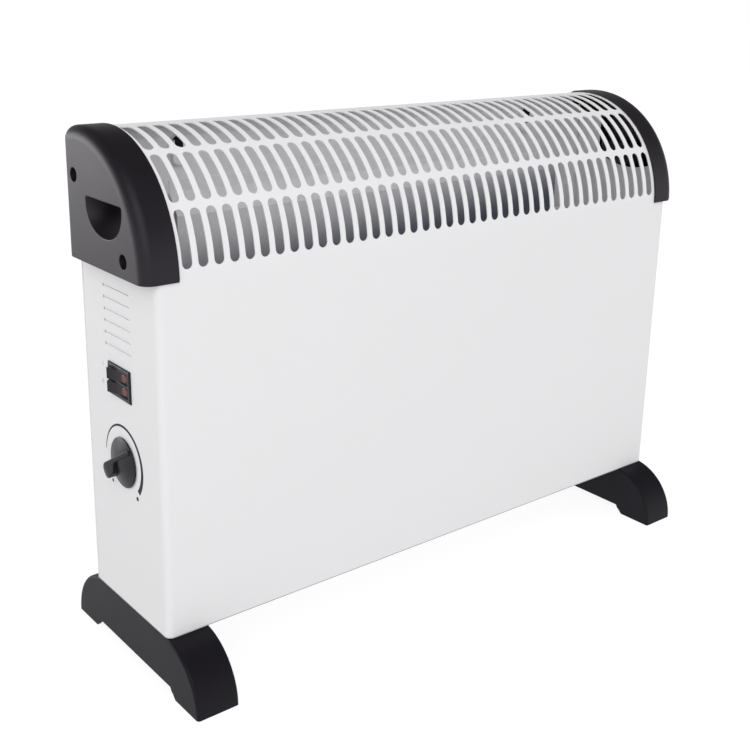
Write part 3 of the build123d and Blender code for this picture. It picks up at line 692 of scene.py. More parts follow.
cellObject = looseObject("slotCell", slotCell())
curveObject = sideCurve()
slottedSheet = useTree(looseObject("frontSheet", plainSheet()), sheetGraph, {
    "Columns": slots["columns"], "Rows": slots["rows"], "Pitch": slots["pitch"],
    "Row Pitch": slots["rowPitch"], "Wall Height": wallHeight, "Cell": cellObject,
    "Middle": rowMiddle + slots["rowPitch"] * (slots["rows"] - 1) / 2, "Weld": slots["weld"],
    "Bend Along": curveObject, "Material": paint,
})
finishPiece(
    "slottedFrontAndTop", slottedSheet, paint, "white_paint", ["front_shell"],
    shell=casing["sheet"], crease=30.0,
)
for spare in (cellObject, curveObject):
    bpy.data.objects.remove(spare)
print("front and slotted top made")

# Side walls with their folds, the rear flanges, the lip below and the inner side panels
louvres = {
    "count": 6, "pitch": 8.4, "low": 241.5, "middle": 1.5, "length": 38.4, "height": 2.6,
    "sink": 0.35, "slit": 0.28, "relief": 1.15, "reliefBehind": 0.3, "reliefSteps": 12,
    "lead": 1.5, "tail": 1.5, "web": 2.4, "overlap": 0.2, "clear": 0.02, "swell": 4.5,
    "across": 26, "down": 6, "thick": 0.35,
}
controls = {
    "switchPlace": (1.9, 217.8), "switchHole": (30.0, 21.2),
    "dialPlace": (1.2, 158.5), "dialHole": 5.15, "dialSteps": 32,
}
endPanel = {
    "low": 299.0, "front": -49.0, "rear": 52.4, "inset": 1.6, "inwards": 0.05,
    "notch": (-9.0, 393.5), "notchRadius": 70.0, "notchSteps": 20, "tab": 26.4, "tabTop": 367.5,
}
lipEdge = {"rearEnd": 50.0, "foldSteps": 6, "inset": 0.5}


def wallBand(bm, path, low, high):
    bridge(bm, rowsOf(bm, [[(x, y, z) for x, y in path] for z in (low, high)]), closed=False)


def louvreHole(index):  # the blade's opening, its slit and the round relief behind them
    level = louvres["low"] + index * louvres["pitch"]
    radius, slit = louvres["relief"], louvres["slit"]
    ahead = louvres["middle"] - louvres["length"] / 2 + louvres["lead"]
    behind = louvres["middle"] + louvres["length"] / 2 + louvres["reliefBehind"]
    half, steps = asin(slit / 2 / radius), louvres["reliefSteps"]
    loop = [(ahead, level - slit), (behind - radius, level - slit)]
    for i in range(steps + 1):
        angle = -pi + half + 2 * (pi - half) * i / steps
        loop.append((behind + radius * cos(angle), level - slit / 2 + radius * sin(angle)))
    high, inside = level + louvres["height"] - louvres["overlap"], behind - radius - louvres["web"]
    return loop + [(inside, level), (inside, high), (ahead, high)]


def sideWall(withControls):
    bm = bmesh.new()
    left, front, base = casing["left"], casing["front"], casing["base"]
    top, rearFace = casing["fold"] + casing["underCaps"], casing["rear"] - casing["sheet"]
    fold, tight = casing["foldRadius"], casing["rearFoldRadius"]
    flatFront, flatRear = front + casing["flatFrom"], front + casing["flatTo"]
    corner = [
        (left + fold - fold * sin(turn), front + fold - fold * cos(turn))
        for turn in quarter(casing["foldSteps"])
    ]
    wallBand(bm, [(-slots["plainEdge"], front)] + corner + [(left, flatFront)], base, top)
    bend = [
        (left + tight - tight * cos(turn), rearFace - tight + tight * sin(turn))
        for turn in quarter(casing["rearFoldSteps"])
    ]
    wallBand(bm, [(left, flatRear)] + bend + [(left + casing["flange"], rearFace)], base, top)
    loops = [[(flatFront, base), (flatRear, base), (flatRear, top), (flatFront, top)]]
    if withControls:
        loops += [louvreHole(index) for index in range(louvres["count"])]
        loops.append(box(*controls["switchPlace"], *controls["switchHole"]))
        loops.append(circle(*controls["dialPlace"], controls["dialHole"], controls["dialSteps"]))
    fillLoops(bm, rowsOf(bm, [[(left, y, z) for y, z in loop] for loop in loops]))
    bmesh.ops.remove_doubles(bm, verts=bm.verts, dist=slots["weld"])
    bmesh.ops.recalc_face_normals(bm, faces=bm.faces)
    turnFaces(bm, [max(bm.faces, key=lambda face: face.calc_area())], 0, -1)
    return bm


def bottomLip(bm):  # turned in along the front and both sides
    side, front, lip = casing["right"], casing["front"], casing["lip"]
    fold, level = casing["foldRadius"], casing["base"] + casing["sheet"]
    inset = lipEdge["inset"]  # keeps the lip inside the walls' outer face
    path = [(-side, lipEdge["rearEnd"]), (-side, front + fold)]
    path += [
        (-side + fold - fold * cos(turn), front + fold - fold * sin(turn))
        for turn in quarter(lipEdge["foldSteps"])[1:]
    ]
    path += [(-x, y) for x, y in path[::-1]]
    inner = [(max(min(x, side - lip), lip - side), max(y, front + lip)) for x, y in path]
    outer = [(x * (side - inset) / side, max(y, front + inset)) for x, y in path]
    rows = [[(x, y, level) for x, y in row] for row in (outer, inner)]
    bridge(bm, rowsOf(bm, rows), closed=False)


def lipAndPanels():  # the lip along the bottom, and the notched panels inside the caps
    bm = bmesh.new()
    bottomLip(bm)
    bm.normal_update()
    for face in bm.faces:
        if face.normal.z < 0:
            face.normal_flip()
    y0, z0 = endPanel["notch"]
    radius, steps, tab = endPanel["notchRadius"], endPanel["notchSteps"], endPanel["tab"]
    low, front, rear, tabTop = (endPanel[key] for key in ("low", "front", "rear", "tabTop"))
    outline = [(front, low)]
    for y, z in topCurve(endPanel["inset"]):
        if front < y < y0 and (y - y0) ** 2 + (z - z0) ** 2 > radius ** 2:
            outline.append((y, z))
    first = atan2(outline[-1][1] - z0, outline[-1][0] - y0)
    last = atan2(-sqrt(radius ** 2 - (tab - y0) ** 2), tab - y0)
    for i in range(1, steps + 1):
        angle = first + (last - first) * i / steps
        outline.append((y0 + radius * cos(angle), z0 + radius * sin(angle)))
    outline += [(tab, tabTop), (rear, tabTop), (rear, low)]
    for end in (-1, 1):
        place = end * (casing["right"] - endPanel["inwards"])
        face = bm.faces.new([bm.verts.new((place, y, z)) for y, z in outline])
        face.normal_update()
        if face.normal.x * end < 0:
            face.normal_flip()
    return bm


walls = bmesh.new()
for part in (sideWall(True), mirrored(sideWall(False)), lipAndPanels()):
    loose = bpy.data.meshes.new("part")
    part.to_mesh(loose)
    part.free()
    walls.from_mesh(loose)
    bpy.data.meshes.remove(loose)
finishPiece("casingWalls", walls, paint, "white_paint", ["front_shell"], shell=casing["sheet"])


def louvreBlade():  # leans inwards towards the slit below it, and stops short of the relief
    bm = bmesh.new()
    across, down = louvres["across"], louvres["down"]
    length = louvres["length"] - louvres["tail"]
    rows = []
    for step in range(down + 1):
        row, share = [], step / down
        for i in range(across + 1):
            y = -louvres["length"] / 2 + length * i / across
            swell = ease(length * min(i, across - i) / across / louvres["swell"])
            sink = louvres["clear"] + louvres["sink"] * swell * ease(share)
            row.append(bm.verts.new((sink, y, louvres["height"] * (1 - share))))
        rows.append(row)
    bridge(bm, rows, closed=False)
    bm.normal_update()
    turnFaces(bm, bm.faces, 0, -1)
    return bm


blades = copiesInLine(
    "louvreRow", louvreBlade(), louvres["count"],
    (casing["left"], louvres["middle"], louvres["low"]), (0, 0, louvres["pitch"]), paint,
)
finishPiece(
    "louvreRow", blades, paint, "white_paint", ["front_shell"], shell=louvres["thick"], crease=50.0
)
print("walls and louvres made")

# End caps with the scooped handle pocket and the screw wells
cap = {
    "face": -266.8, "inner": -241.0, "step": -249.0, "floor": 298.8, "lap": 1.6, "wall": 1.5,
    "inside": 0.1, "round": 9.0, "roundSteps": 10, "rearLevels": (352.0, 325.0),
    "groove": [(0.0, 0.35), (1.2, 0.35), (1.5, 0.0)],  # height above the floor, and depth
    "wells": [(-28.5, 310.2), (38.8, 356.9)], "wellRadius": 4.9, "wellSteps": 28,
    "wellWall": [(0.0, 0.5), (0.12, 0.2), (0.5, 0.0), (6.6, -0.15)],  # depth and growth
    "pocket": (-3.8, 345.3), "pocketHalf": 25.4, "pocketHalfInner": 19.5, "pocketHeight": 24.4,
    "pocketInner": 9.0, "pocketDepth": 18.0, "pocketCorner": 2.2, "pocketBow": 0.92, "pocketSteps": 36,
    "pocketLean": 1.5, "cornerSteps": (5, 6),
    "pocketWall": [
        (0.0, 0.9), (0.1, 0.5), (0.35, 0.17), (0.9, 0.0), (3.0, 0.0), (6.0, 0.0), (9.0, 0.0),
        (12.0, 0.0), (14.5, 0.0), (16.2, -0.15), (17.2, -0.6), (17.8, -1.3), (18.0, -2.4),
    ],
}


def capOutline(inset):  # from the bottom of the front, over the top, to the bottom of the rear
    y, z, radius = casing["topArcs"][0][:3]
    points = []
    for above, sunk in cap["groove"]:  # a shallow line above the lower edge of the front
        level = cap["floor"] + above
        points.append((y - sqrt((radius - inset) ** 2 - (level - z) ** 2) + sunk, level))
    points += topCurve(inset, 2.5)[1:]
    return points + [(casing["rear"] - inset, level) for level in (*cap["rearLevels"], cap["floor"])]


def pocketRing(depth, grow):  # a flat top with small round corners over a deep, rounded belly
    share = depth / cap["pocketDepth"]
    half = cap["pocketHalf"] + (cap["pocketHalfInner"] - cap["pocketHalf"]) * share + grow
    height = cap["pocketHeight"] + grow
    height += (cap["pocketInner"] - cap["pocketHeight"]) * share ** cap["pocketLean"]
    (y, z), soft, bow = cap["pocket"], cap["pocketCorner"], cap["pocketBow"]
    start, ring = z + grow - soft, []
    for i in range(cap["pocketSteps"] + 1):
        angle = pi * i / cap["pocketSteps"]
        reach = abs(cos(angle)) ** bow * (1 if cos(angle) >= 0 else -1)
        ring.append((y + half * reach, start - (start - z + height) * sin(angle) ** bow))
    for side, steps in zip((-1, 1), cap["cornerSteps"]):
        turns = quarter(steps)[1:] if side < 0 else quarter(steps)[:-1]
        for turn in turns:
            angle = pi - turn if side < 0 else pi / 2 - turn
            ring.append((y + side * (half - soft) + soft * cos(angle), start + soft * sin(angle)))
    return ring


def capShell():
    bm = bmesh.new()
    face, radius, lap = cap["face"], cap["round"], cap["lap"]
    sections = [(x, -lap) for x in (cap["inner"], cap["step"], casing["left"] - cap["inside"])]
    for turn in quarter(cap["roundSteps"])[1:]:
        sections.append((face + radius - radius * sin(turn), radius - lap - radius * cos(turn)))
    rings = rowsOf(bm, [[(x, y, z) for y, z in capOutline(inset)] for x, inset in sections])
    bridge(bm, rings, closed=False)
    floor = rings[2:]
    for near, far in zip(floor, floor[1:]):
        bm.faces.new((near[0], far[0], far[-1], near[-1]))
    hollows = [[(depth, pocketRing(depth, grow)) for depth, grow in cap["pocketWall"]]]
    for y, z in cap["wells"]:
        hollows.append([
            (depth, circle(y, z, cap["wellRadius"] + grow, cap["wellSteps"]))
            for depth, grow in cap["wellWall"]
        ])
    mouths = []
    for hollow in hollows:
        walls = rowsOf(bm, [[(face + depth, y, z) for y, z in ring] for depth, ring in hollow])
        bridge(bm, walls)
        bm.faces.new(walls[-1])
        mouths.append(walls[0])
    fillLoops(bm, [rings[-1]] + mouths)
    bmesh.ops.recalc_face_normals(bm, faces=bm.faces)
    flat = [f for f in bm.faces if all(vertex.co.x < face + touching for vertex in f.verts)]
    turnFaces(bm, flat, 0, -1)
    return bm


leftCap = capShell()
for name, bm, node in (
    ("leftEndCap", leftCap, "left_cap"), ("rightEndCap", mirrored(leftCap), "right_cap")
):
    finishPiece(
        name, bm, capPlastic, "black_plastic", [node], shell=cap["wall"], crease=34.0, even=False
    )
print("end caps made")

# Feet, hollow from below
foot = {
    "outer": -257.5, "inner": -224.5, "half": 91.8, "height": 44.5, "pad": 31.0, "slope": 7.0,
    "outerEdge": 2.4, "outerSteps": 6, "innerEdge": 1.6, "innerSteps": 4, "wall": 3.0,
    "roundSteps": 18, "flat": 15.0, "arch": 7.2, "archFlat": 3.0, "archBend": 1.25, "archGain": 1.9,
    "archShares": (0.5, 0.72, 0.86, 0.95, 1.0), "rib": 2.4, "ribPitch": 45.0, "ribHalf": 14.5,
    "roof": 2.0, "bossRadius": 5.5, "bossEnd": 22.5, "bossEdge": 0.6, "bossSteps": 20,
    "screwX": 241.0, "screwY": 30.0,
}


def footOutline(inset):  # from the rear pad, over the top, to the front pad, and back under the arch
    half, radius = foot["half"], foot["height"] - inset
    centre = half - foot["height"]
    rear = [(centre + radius * cos(turn), radius * sin(turn)) for turn in quarter(foot["roundSteps"])]
    points = rear + [(foot["flat"], radius), (-foot["flat"], radius)]
    points += [(-y, z) for y, z in rear[::-1]]
    padIn, slope, arch = half - foot["pad"], foot["slope"], foot["arch"]
    under = [(-padIn, 0.0)]
    for share in foot["archShares"]:  # a slope up from the pad that eases into the arch
        rise = share if share < 0.6 else 1 - (1 - share) ** foot["archBend"] * foot["archGain"]
        under.append((-padIn + slope * share, arch * rise))
    archIn = padIn - slope - foot["archFlat"]
    return points + under + [(-archIn, arch), (archIn, arch)] + [(-y, z) for y, z in under[::-1]]


def footShell():
    bm = bmesh.new()
    outer, inner = foot["outerEdge"], foot["innerEdge"]
    sections = [
        (foot["outer"] + outer * (1 - cos(turn)), outer * (1 - sin(turn)))
        for turn in quarter(foot["outerSteps"])
    ]
    sections += [
        (foot["inner"] - inner * (1 - sin(turn)), inner * (1 - cos(turn)))
        for turn in quarter(foot["innerSteps"])
    ]
    rings = rowsOf(bm, [[(x, y, z) for y, z in footOutline(inset)] for x, inset in sections])
    over = 2 * (foot["roundSteps"] + 2)  # the points from pad to pad, over the top
    bridge(bm, [ring[:over] for ring in rings], closed=False)
    for ring in (rings[0], rings[-1]):
        bm.faces.new(ring)
    bmesh.ops.recalc_face_normals(bm, faces=bm.faces)
    turnFaces(bm, [max(bm.faces, key=lambda f: f.calc_center_median().z)], 2, 1)
    bmesh.ops.triangulate(bm, faces=[f for f in bm.faces if len(f.verts) > 4])
    return bm


def footRib():
    bm = bmesh.new()
    low, high = foot["arch"] + foot["rib"], foot["height"] - foot["roof"]
    ring = box(0.0, (low + high) / 2, foot["rib"], high - low)
    half = foot["ribHalf"]
    ends = rowsOf(bm, [[(x, y, z) for y, z in ring] for x in (-half, half)])
    bridge(bm, ends)
    bm.faces.new(ends[0][::-1])
    bm.faces.new(ends[1])
    bmesh.ops.recalc_face_normals(bm, faces=bm.faces)
    return bm


def footBoss():
    bm = bmesh.new()
    radius, end, edge = foot["bossRadius"], foot["bossEnd"], foot["bossEdge"]
    levels = [(foot["height"] - foot["roof"], radius), (end + edge, radius), (end, radius - edge)]
    rings = rowsOf(bm, turned(levels, foot["bossSteps"]))
    bridge(bm, rings)
    bm.faces.new(rings[-1])
    bmesh.ops.recalc_face_normals(bm, faces=bm.faces)
    return bm


leftFoot = footShell()
for name, bm, node, end in (
    ("leftFoot", leftFoot, "left_foot", -1), ("rightFoot", mirrored(leftFoot), "right_foot", 1)
):
    dress = (footPlastic, "black_plastic", [node])
    finishPiece(name, bm, *dress, shell=foot["wall"], crease=34.0)
    x, pitch, apart = end * foot["screwX"], foot["ribPitch"], foot["screwY"]
    ribs = copiesInLine(name + "Ribs", footRib(), 3, (x, -pitch, 0), (0, pitch, 0), footPlastic)
    finishPiece(name + "Ribs", ribs, *dress, edge=0.4)
    bosses = copiesInLine(
        name + "Bosses", footBoss(), 2, (x, -apart, 0), (0, 2 * apart, 0), footPlastic
    )
    finishPiece(name + "Bosses", bosses, *dress)
print("feet made")

# Screws: one pan head with a cross recess, set in the cap wells, the back panel and the feet
screw = {
    "radius": 3.6, "height": 2.1, "steps": 20, "cross": 1.9, "crossWidth": 0.45, "crossDepth": 0.9,
    "crossTaper": 0.8, "profile": [(1.0, 0.0), (0.25, 0.45), (0.0, 1.15)],  # below the top, and in
    "wellSink": 0.05, "backX": (-250.5, 250.5), "backZ": (68.5, 171.5, 274.5),
}


def screwHead():  # the head points along +Z from its seat
    bm = bmesh.new()
    radius, height = screw["radius"], screw["height"]
    levels = [(0.0, radius)] + [(height - down, radius - inset) for down, inset in screw["profile"]]
    rings = rowsOf(bm, turned(levels, screw["steps"]))
    bridge(bm, rings)
    a, b = screw["cross"], screw["crossWidth"]
    arm = [(a, -b), (a, b), (b, b)]
    star = arm + [(-y, x) for x, y in arm] + [(-x, -y) for x, y in arm] + [(y, -x) for x, y in arm]
    taper, deepest = screw["crossTaper"], height - screw["crossDepth"]
    mouth, deep = rowsOf(bm, [
        [(x, y, height) for x, y in star], [(x * taper, y * taper, deepest) for x, y in star],
    ])
    bridge(bm, [mouth, deep])
    bm.faces.new(deep)
    fillLoops(bm, [rings[-1], mouth])
    bmesh.ops.recalc_face_normals(bm, faces=bm.faces)
    low = min(bm.faces, key=lambda f: f.calc_center_median().z)
    if low.normal.dot(low.calc_center_median()) < 0:
        bmesh.ops.reverse_faces(bm, faces=bm.faces)
    return bm


screwShape = looseObject("screwShape", screwHead())
quarterTurn = pi / 2
wellFloor = cap["face"] + cap["wellWall"][-1][0] - screw["wellSink"]
screwSets = [  # name, seats and turn
    ("leftCapScrews", [(wellFloor, y, z) for y, z in cap["wells"]], (0, -quarterTurn, 0)),
    ("rightCapScrews", [(-wellFloor, y, z) for y, z in cap["wells"]], (0, quarterTurn, 0)),
    (
        "backScrews", [(x, casing["rear"], z) for x in screw["backX"] for z in screw["backZ"]],
        (-quarterTurn, 0, 0),
    ),
    (
        "footScrews",
        [(x * foot["screwX"], y * foot["screwY"], foot["bossEnd"]) for x in (-1, 1) for y in (-1, 1)],
        (pi, 0, 0),
    ),
]
for name, seats, turn in screwSets:
    heads = copiesOnPoints(name, seats, screwShape, turn, screwSteel)
    finishPiece(name, heads, screwSteel, "steel", crease=28.0)
bpy.data.objects.remove(screwShape)
print("screws made")

# Guards behind the keyholes, which keep the wall screws off the wiring, and dark pads in them: painted
# shade, dark pieces that stand for the dark seen through the keyholes
guard = {
    "across": 5.6, "rise": 10.2, "steps": 32, "thick": 0.6, "seat": (180.0, 53.1, 364.0),
    "pad": (180.0, 50.9, 368.6), "shadePadScale": 0.62,
    "profile": [(0.0, 1.2), (0.7, 1.2), (0.7, 0.2), (1.1, 0.0), (3.4, -0.3), (4.0, -1.0)],
}


def keyholeGuard(scale=1.0):  # an upright oval dish, open towards the back panel
    bm = bmesh.new()
    rings = []
    for inwards, grow in guard["profile"]:
        ring, radius = [], guard["across"] + grow
        for i in range(guard["steps"]):
            angle = 2 * pi * i / guard["steps"]
            lift = (guard["rise"] - guard["across"]) * (1 if sin(angle) > 0 else -1)
            ring.append(bm.verts.new((radius * cos(angle), -inwards, radius * sin(angle) + lift)))
        rings.append(ring)
    bridge(bm, rings)
    bm.faces.new(rings[-1])
    bmesh.ops.recalc_face_normals(bm, faces=bm.faces)
    bmesh.ops.scale(bm, vec=(scale, scale, scale), verts=bm.verts)
    return bm


guardSets = [
    ("keyholeGuards", guard["seat"], 1.0, backZinc, "galvanised_sheet"),
    # Dark pads inside the guards: painted shade, standing for the dark seen through the keyholes
    ("keyholePads", guard["pad"], guard["shadePadScale"], footPlastic, "black_plastic"),
]
for name, (x, y, z), scale, material, slot in guardSets:
    shape = looseObject("guardShape", keyholeGuard(scale))
    pair = copiesOnPoints(name, [(-x, y, z), (x, y, z)], shape, (0, 0, 0), material)
    finishPiece(name, pair, material, slot, shell=guard["thick"], even=False)
    bpy.data.objects.remove(shape)
print("keyhole guards made")

# Thermostat knob: a domed disc under a grip that widens and rises towards its pointer end
knob = {
    "centre": controls["dialPlace"], "gap": 0.4, "radius": 18.3, "bore": 3.1, "angle": -42.0,
    "rim": [(0.0, 0.5), (0.3, 0.0), (0.8, 0.0), (1.1, 0.25)],  # above the gap, and in
    "dome": 5.3, "domeSteps": 9, "discSteps": 72, "half": 17.4, "gripSteps": 40, "gripSeat": 0.9,
    "tailWidth": 1.5, "headWidth": 6.9, "tailHeight": 2.6, "headHeight": 9.25, "fullAt": 1.2,
    "bow": 0.85, "headDrop": 0.5, "tailDrop": 0.3, "ridge": 3.6, "scoopEnd": 7.5, "scoopRun": 7.0,
    "aside": 1.2, "edge": 0.6, "flare": 0.25, "leastHeight": 0.3, "roundEnd": 0.0004,
}


def onDial(u, v, height):  # along the pointer, across it, and out from the wall
    a = radians(knob["angle"])
    y = knob["centre"][0] + u * cos(a) - v * sin(a)
    z = knob["centre"][1] + u * sin(a) + v * cos(a)
    return (casing["left"] - height, y, z)


def knobDisc():
    bm = bmesh.new()
    low, radius = knob["gap"], knob["radius"]
    levels = [(low, knob["bore"])] + [(low + up, radius - inset) for up, inset in knob["rim"]]
    edgeHeight, edgeRadius = levels[-1]
    for i in range(1, knob["domeSteps"]):  # the face is a shallow dome that meets the thin rim
        share = i / knob["domeSteps"]
        height = edgeHeight + (knob["dome"] - edgeHeight) * sin(share * pi / 2)
        levels.append((height, edgeRadius * (1 - share)))
    flat = turned(levels, knob["discSteps"])
    rings = rowsOf(bm, [[onDial(*point) for point in ring] for ring in flat])
    bridge(bm, rings)
    bm.faces.new(rings[-1])
    bmesh.ops.recalc_face_normals(bm, faces=bm.faces)
    turnFaces(bm, [min(bm.faces, key=lambda f: f.calc_center_median().x)], 0, -1)
    return bm


def gripRing(u, seat):  # the grip's section at one place along the pointer
    half, tail, head = knob["half"], knob["tailWidth"], knob["headWidth"]
    share = (u + half) / (2 * half)
    width = tail + (head - tail) * share
    pastHead, pastTail = (u - half + head) / head, (-u - half + tail) / tail
    for past in (pastHead, pastTail):  # round ends in plan
        if past > 0:
            width *= sqrt(max(knob["roundEnd"], 1 - past * past))
    scoop = ease((u - knob["scoopEnd"] + knob["scoopRun"]) / knob["scoopRun"])
    low = max(-width, width - knob["ridge"])
    low += (-width - low) * scoop
    flank = -width - low
    climb = min(1.0, knob["fullAt"] * share) ** knob["bow"]
    height = knob["tailHeight"] + (knob["headHeight"] - knob["tailHeight"]) * climb
    height -= knob["headDrop"] * max(0.0, pastHead) ** 4 + knob["tailDrop"] * max(0.0, pastTail) ** 4
    rise = max(knob["leastHeight"], height - seat)
    soft = min(knob["edge"], 0.4 * width, 0.4 * rise)
    hollow = (1 - scoop) * 0.5 + 0.1
    return [
        (width + knob["flare"], 0.0), (width - knob["flare"], 0.35 * rise), (width, rise - soft),
        (width - 0.3 * soft, rise - 0.3 * soft), (width - soft, rise), (low + soft, rise),
        (low + 0.3 * soft, rise - 0.3 * soft), (low, rise - soft), (low + hollow, 0.62 * rise),
        (low + hollow * 0.8 + flank * 0.25, 0.34 * rise), (low + flank * 0.65, 0.14 * rise),
        (-width - knob["flare"], 0.0),
    ]


def knobGrip():  # a wedge with its ridge along one side and a scooped flank on the other
    bm = bmesh.new()
    seat, rings = knob["gap"] + knob["gripSeat"], []
    for i in range(knob["gripSteps"] + 1):
        u = -knob["half"] * cos(pi * i / knob["gripSteps"])
        rings.append([onDial(u, v + knob["aside"], seat + h) for v, h in gripRing(u, seat)])
    sections = rowsOf(bm, rings)
    bridge(bm, sections)
    bm.faces.new(sections[0])
    bm.faces.new(sections[-1])
    bmesh.ops.recalc_face_normals(bm, faces=bm.faces)
    return bm


for name, bm, crease in (("knobDisc", knobDisc(), 40.0), ("knobGrip", knobGrip(), 46.0)):
    finishPiece(name, bm, knobPlastic, "black_plastic", ["knob"], "thermostat_knob", crease=crease)
print("knob made")

# Printed scale round the knob, with plain marks
marks = {
    "outer": 27.7, "thin": 0.8, "thick": 3.9, "growth": 1.15, "from": 4.0, "to": 219.0, "steps": 90,
    "ink": 0.05, "inkThick": 0.04,
    "lowDot": (20.3, 137.9, 1.25, 20), "highDot": (-16.6, 137.2, 1.6, 24),
    "bars": [(27.6, 224.6), (27.6, 211.2), (29.2, 211.2)], "barSize": (0.55, 3.2),
}
inkPlane = casing["left"] - marks["ink"]


def inked(bm, loops):
    for loop in loops:
        face = bm.faces.new([bm.verts.new((inkPlane, y, z)) for y, z in loop])
        face.normal_update()
        if face.normal.x > 0:
            face.normal_flip()


def dialScale():  # an arc that grows thicker, and a dot near each end
    bm = bmesh.new()
    y, z = knob["centre"]
    rows = [[], []]
    for i in range(marks["steps"] + 1):
        share = i / marks["steps"]
        angle = radians(marks["from"] + (marks["to"] - marks["from"]) * share)
        weight = marks["thin"] + (marks["thick"] - marks["thin"]) * share ** marks["growth"]
        for row, radius in zip(rows, (marks["outer"], marks["outer"] - weight)):
            row.append(bm.verts.new((inkPlane, y + radius * cos(angle), z + radius * sin(angle))))
    bridge(bm, rows, closed=False)
    bm.normal_update()
    turnFaces(bm, bm.faces, 0, -1)
    inked(bm, [circle(*marks["lowDot"]), circle(*marks["highDot"])])
    return bm


def switchMarks():
    bm = bmesh.new()
    inked(bm, [box(y, z, *marks["barSize"]) for y, z in marks["bars"]])
    return bm


finishPiece("dialScale", dialScale(), blackPrint, "black_plastic", shell=marks["inkThick"])
finishPiece("switchMarks", switchMarks(), greyPrint, "black_plastic", shell=marks["inkThick"])
print("prints made")


# Pieces that keep the CAD's shape with softened edges: node, material, slot, body, edge and steps
softened = {
    "switchBezel": ("switch_housing", switchPlastic, "switch_plastic", "casing", 0.00022, 2),
    "lowerRocker": ("rocker_lower", switchPlastic, "switch_plastic", "lower_rocker", 0.00028, 2),
    "upperRocker": ("rocker_upper", switchPlastic, "switch_plastic", "upper_rocker", 0.00028, 2),
    "terminalBlock": ("terminal_block", blockPlastic, "terminal_plastic", "casing", 0.0005, 2),
    "thermostatBody": ("thermostat_body", bakelite, "bakelite", "casing", 0.0004, 2),
    "lowerLens": ("lens_lower", lensRed, "red_lens", "lower_rocker", 0.0003, 3),
    "upperLens": ("lens_upper", lensRed, "red_lens", "upper_rocker", 0.0003, 3),
}
for name, (node, material, slot, body, edge, steps) in softened.items():
    bm = bmesh.new()
    bm.from_mesh(nodes[node].data)
    bmesh.ops.remove_doubles(bm, verts=bm.verts, dist=joined)
    bmesh.ops.dissolve_limit(bm, angle_limit=radians(1.0), verts=bm.verts, edges=bm.edges)
    finishPiece(name, bm, material, slot, [node], body, edge=edge, edgeSteps=steps, scale=1.0)
print("switch, rockers, lenses and small parts softened")

# Round bush where the cord would go in
bush = {
    "centre": (-223.5, 78.5), "steps": 40,
    "profile": [  # out from the back panel, and radius
        (0.0, 3.9), (0.0, 9.2), (1.6, 9.2), (2.1, 8.7), (2.3, 7.2), (2.8, 6.6), (4.4, 6.2),
        (4.9, 5.6), (5.0, 4.6), (4.6, 3.9),
    ],
}


def cordBush():
    bm = bmesh.new()
    rings = []
    for out, radius in bush["profile"]:
        ring = circle(*bush["centre"], radius, bush["steps"])
        rings.append([(x, casing["rear"] + out, z) for x, z in ring])
    rows = rowsOf(bm, rings)
    bridge(bm, rows + rows[:1])
    bmesh.ops.recalc_face_normals(bm, faces=bm.faces)
    return bm


finishPiece("cordBush", cordBush(), footPlastic, "black_plastic", ["cord_bush"])

# CAD pieces that keep their shape
dressed = {
    "back_panel": backZinc, "bottom_plate": zinc, "reflector": reflectorZinc,
    "control_wall": zinc, "end_wall": zinc, "element_rails": zinc, "mica_boards": micaBoard,
    "heating_ribbon_front": ribbonAlloy, "heating_ribbon_rear": ribbonAlloy,
    "thermal_cutout": bakelite, "thermostat_shaft": steel, "switch_tabs": brass,
}
for node, material in dressed.items():
    nodes[node].data.materials.clear()
    nodes[node].data.materials.append(material)
print("CAD pieces dressed")

# Floor, light and camera
studio = {
    "floorSize": 12.0, "floorDrop": 0.0002, "floorLevel": 0.86, "glow": 1.09, "floorGlow": 0.84,
    "floorGlowReflected": 0.45, "sky": 0.78, "ceiling": 0.12, "wallTop": 0.05, "ceilingFrom": 0.50,
}


def pureWhite(graph, seen=1.0, reflected=1.0):  # where the camera, a reflection or glass looks at it
    path = graph.tree.nodes.new("ShaderNodeLightPath")
    labels = ("Is Camera Ray", "Is Glossy Ray", "Is Transmission Ray")
    camera, glossy, through = (Wire(graph, path.outputs[label]) for label in labels)
    return (camera * seen).largest(glossy.largest(through) * reflected)


def newTree(owner):  # an empty node tree for a material or the world
    owner.use_nodes = True
    owner.node_tree.nodes.clear()
    return Graph(owner.node_tree)


def endShader(graph, kind, wire):
    end = graph.tree.nodes.new(kind)
    graph.tree.links.new(wire.socket, end.inputs["Surface"])


floorMesh = bpy.data.meshes.new("floor")
side = 2 * studio["floorSize"]
floorMesh.from_pydata([(x, y, 0) for x, y in box(0, 0, side, side)], [], [(0, 1, 2, 3)])
floor = bpy.data.objects.new("floor", floorMesh)
bpy.context.scene.collection.objects.link(floor)
floor.location.z = -studio["floorDrop"]
floorPaint = bpy.data.materials.new("floorWhite")
floorGraph = newTree(floorPaint)
matt = floorGraph.add("ShaderNodeBsdfDiffuse", None, {"Color": (*grey(studio["floorLevel"]), 1.0)})
glow = floorGraph.add("ShaderNodeEmission", None, {"Color": (1, 1, 1, 1), "Strength": studio["glow"]})
floorMix = floorGraph.add("ShaderNodeMixShader", None, {
    0: pureWhite(floorGraph, studio["floorGlow"], studio["floorGlowReflected"]), 1: matt, 2: glow,
})
endShader(floorGraph, "ShaderNodeOutputMaterial", floorMix)
floorMesh.materials.append(floorPaint)

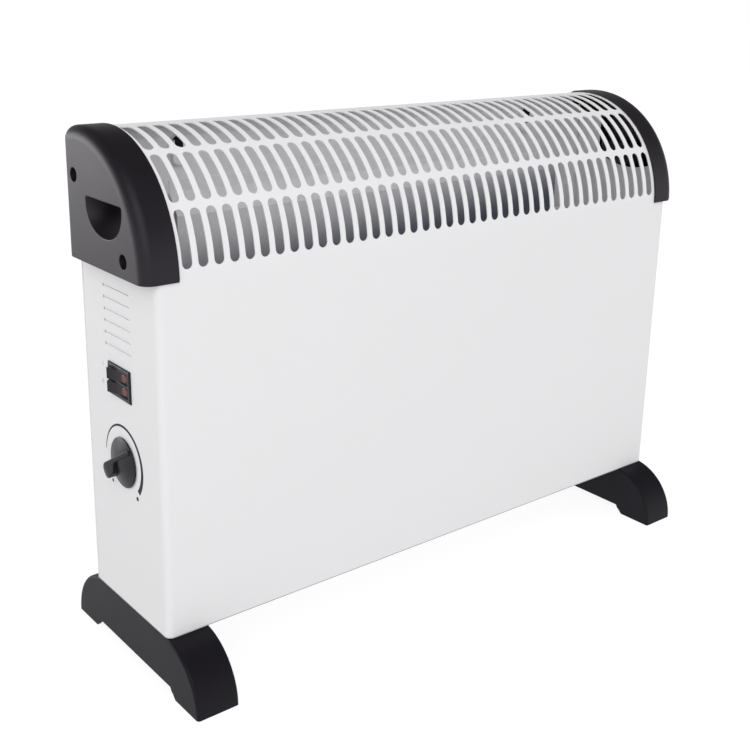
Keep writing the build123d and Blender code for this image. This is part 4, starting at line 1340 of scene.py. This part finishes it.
world = bpy.data.worlds.new("studio")
bpy.context.scene.world = world
skyGraph = newTree(world)
direct = skyGraph.add("ShaderNodeLightPath", out="Is Camera Ray")
lift = skyGraph.part(skyGraph.add("ShaderNodeTexCoord", out="Generated"), "Z")
ceiling = skyGraph.add("ShaderNodeMapRange", {"interpolation_type": "SMOOTHSTEP"}, {
    "Value": lift, "From Min": studio["wallTop"], "From Max": studio["ceilingFrom"],
})
# The ceiling is dark in reflections only
shown = skyGraph.mix(ceiling * (1 - direct), grey(1.0), grey(studio["ceiling"]))
soft = skyGraph.add("ShaderNodeBackground", None, {"Color": (1, 1, 1, 1), "Strength": studio["sky"]})
seen = skyGraph.add("ShaderNodeBackground", None, {"Color": shown, "Strength": 1.0})
skyMix = skyGraph.add("ShaderNodeMixShader", None, {0: pureWhite(skyGraph), 1: soft, 2: seen})
endShader(skyGraph, "ShaderNodeOutputWorld", skyMix)

lamps = {  # place, aim, size, power, and whether it lights or only shows in reflections
    "keyLamp": ((-1.3, -1.9, 2.0), (0.0, 0.0, 0.28), 2.2, 25.0, True),
    "sideLamp": ((-1.6, 2.0, 0.5), (-0.26, 0.0, 0.3), 1.3, 27.0, False),
}
for name, (place, aim, size, power, lights) in lamps.items():
    lamp = bpy.data.lights.new(name, "AREA")
    lamp.shape, lamp.size, lamp.energy = "SQUARE", size, power
    holder = bpy.data.objects.new(name, lamp)
    bpy.context.scene.collection.objects.link(holder)
    holder.visible_diffuse = lights
    holder.location = place
    holder.rotation_euler = (Vector(aim) - Vector(place)).to_track_quat("-Z", "Y").to_euler()

view = {
    "place": (-0.586696, -0.674098, 0.488023), "right": (0.780095, -0.625390, 0.018417),
    "down": (-0.163406, -0.232067, -0.958876), "look": (0.603946, 0.745005, -0.283227),
    "lens": 54.487, "shift": (0.00751, -0.08424),
}
lensData = bpy.data.cameras.new("camera")
lensData.sensor_width, lensData.lens = 36.0, view["lens"]
lensData.shift_x, lensData.shift_y = view["shift"]
camera = bpy.data.objects.new("camera", lensData)
bpy.context.scene.collection.objects.link(camera)
turn = Matrix((view["right"], [-v for v in view["down"]], [-v for v in view["look"]])).transposed()
camera.matrix_world = Matrix.Translation(view["place"]) @ turn.to_4x4()
bpy.context.scene.camera = camera
bpy.context.scene.view_settings.view_transform = "Standard"
print("studio made")
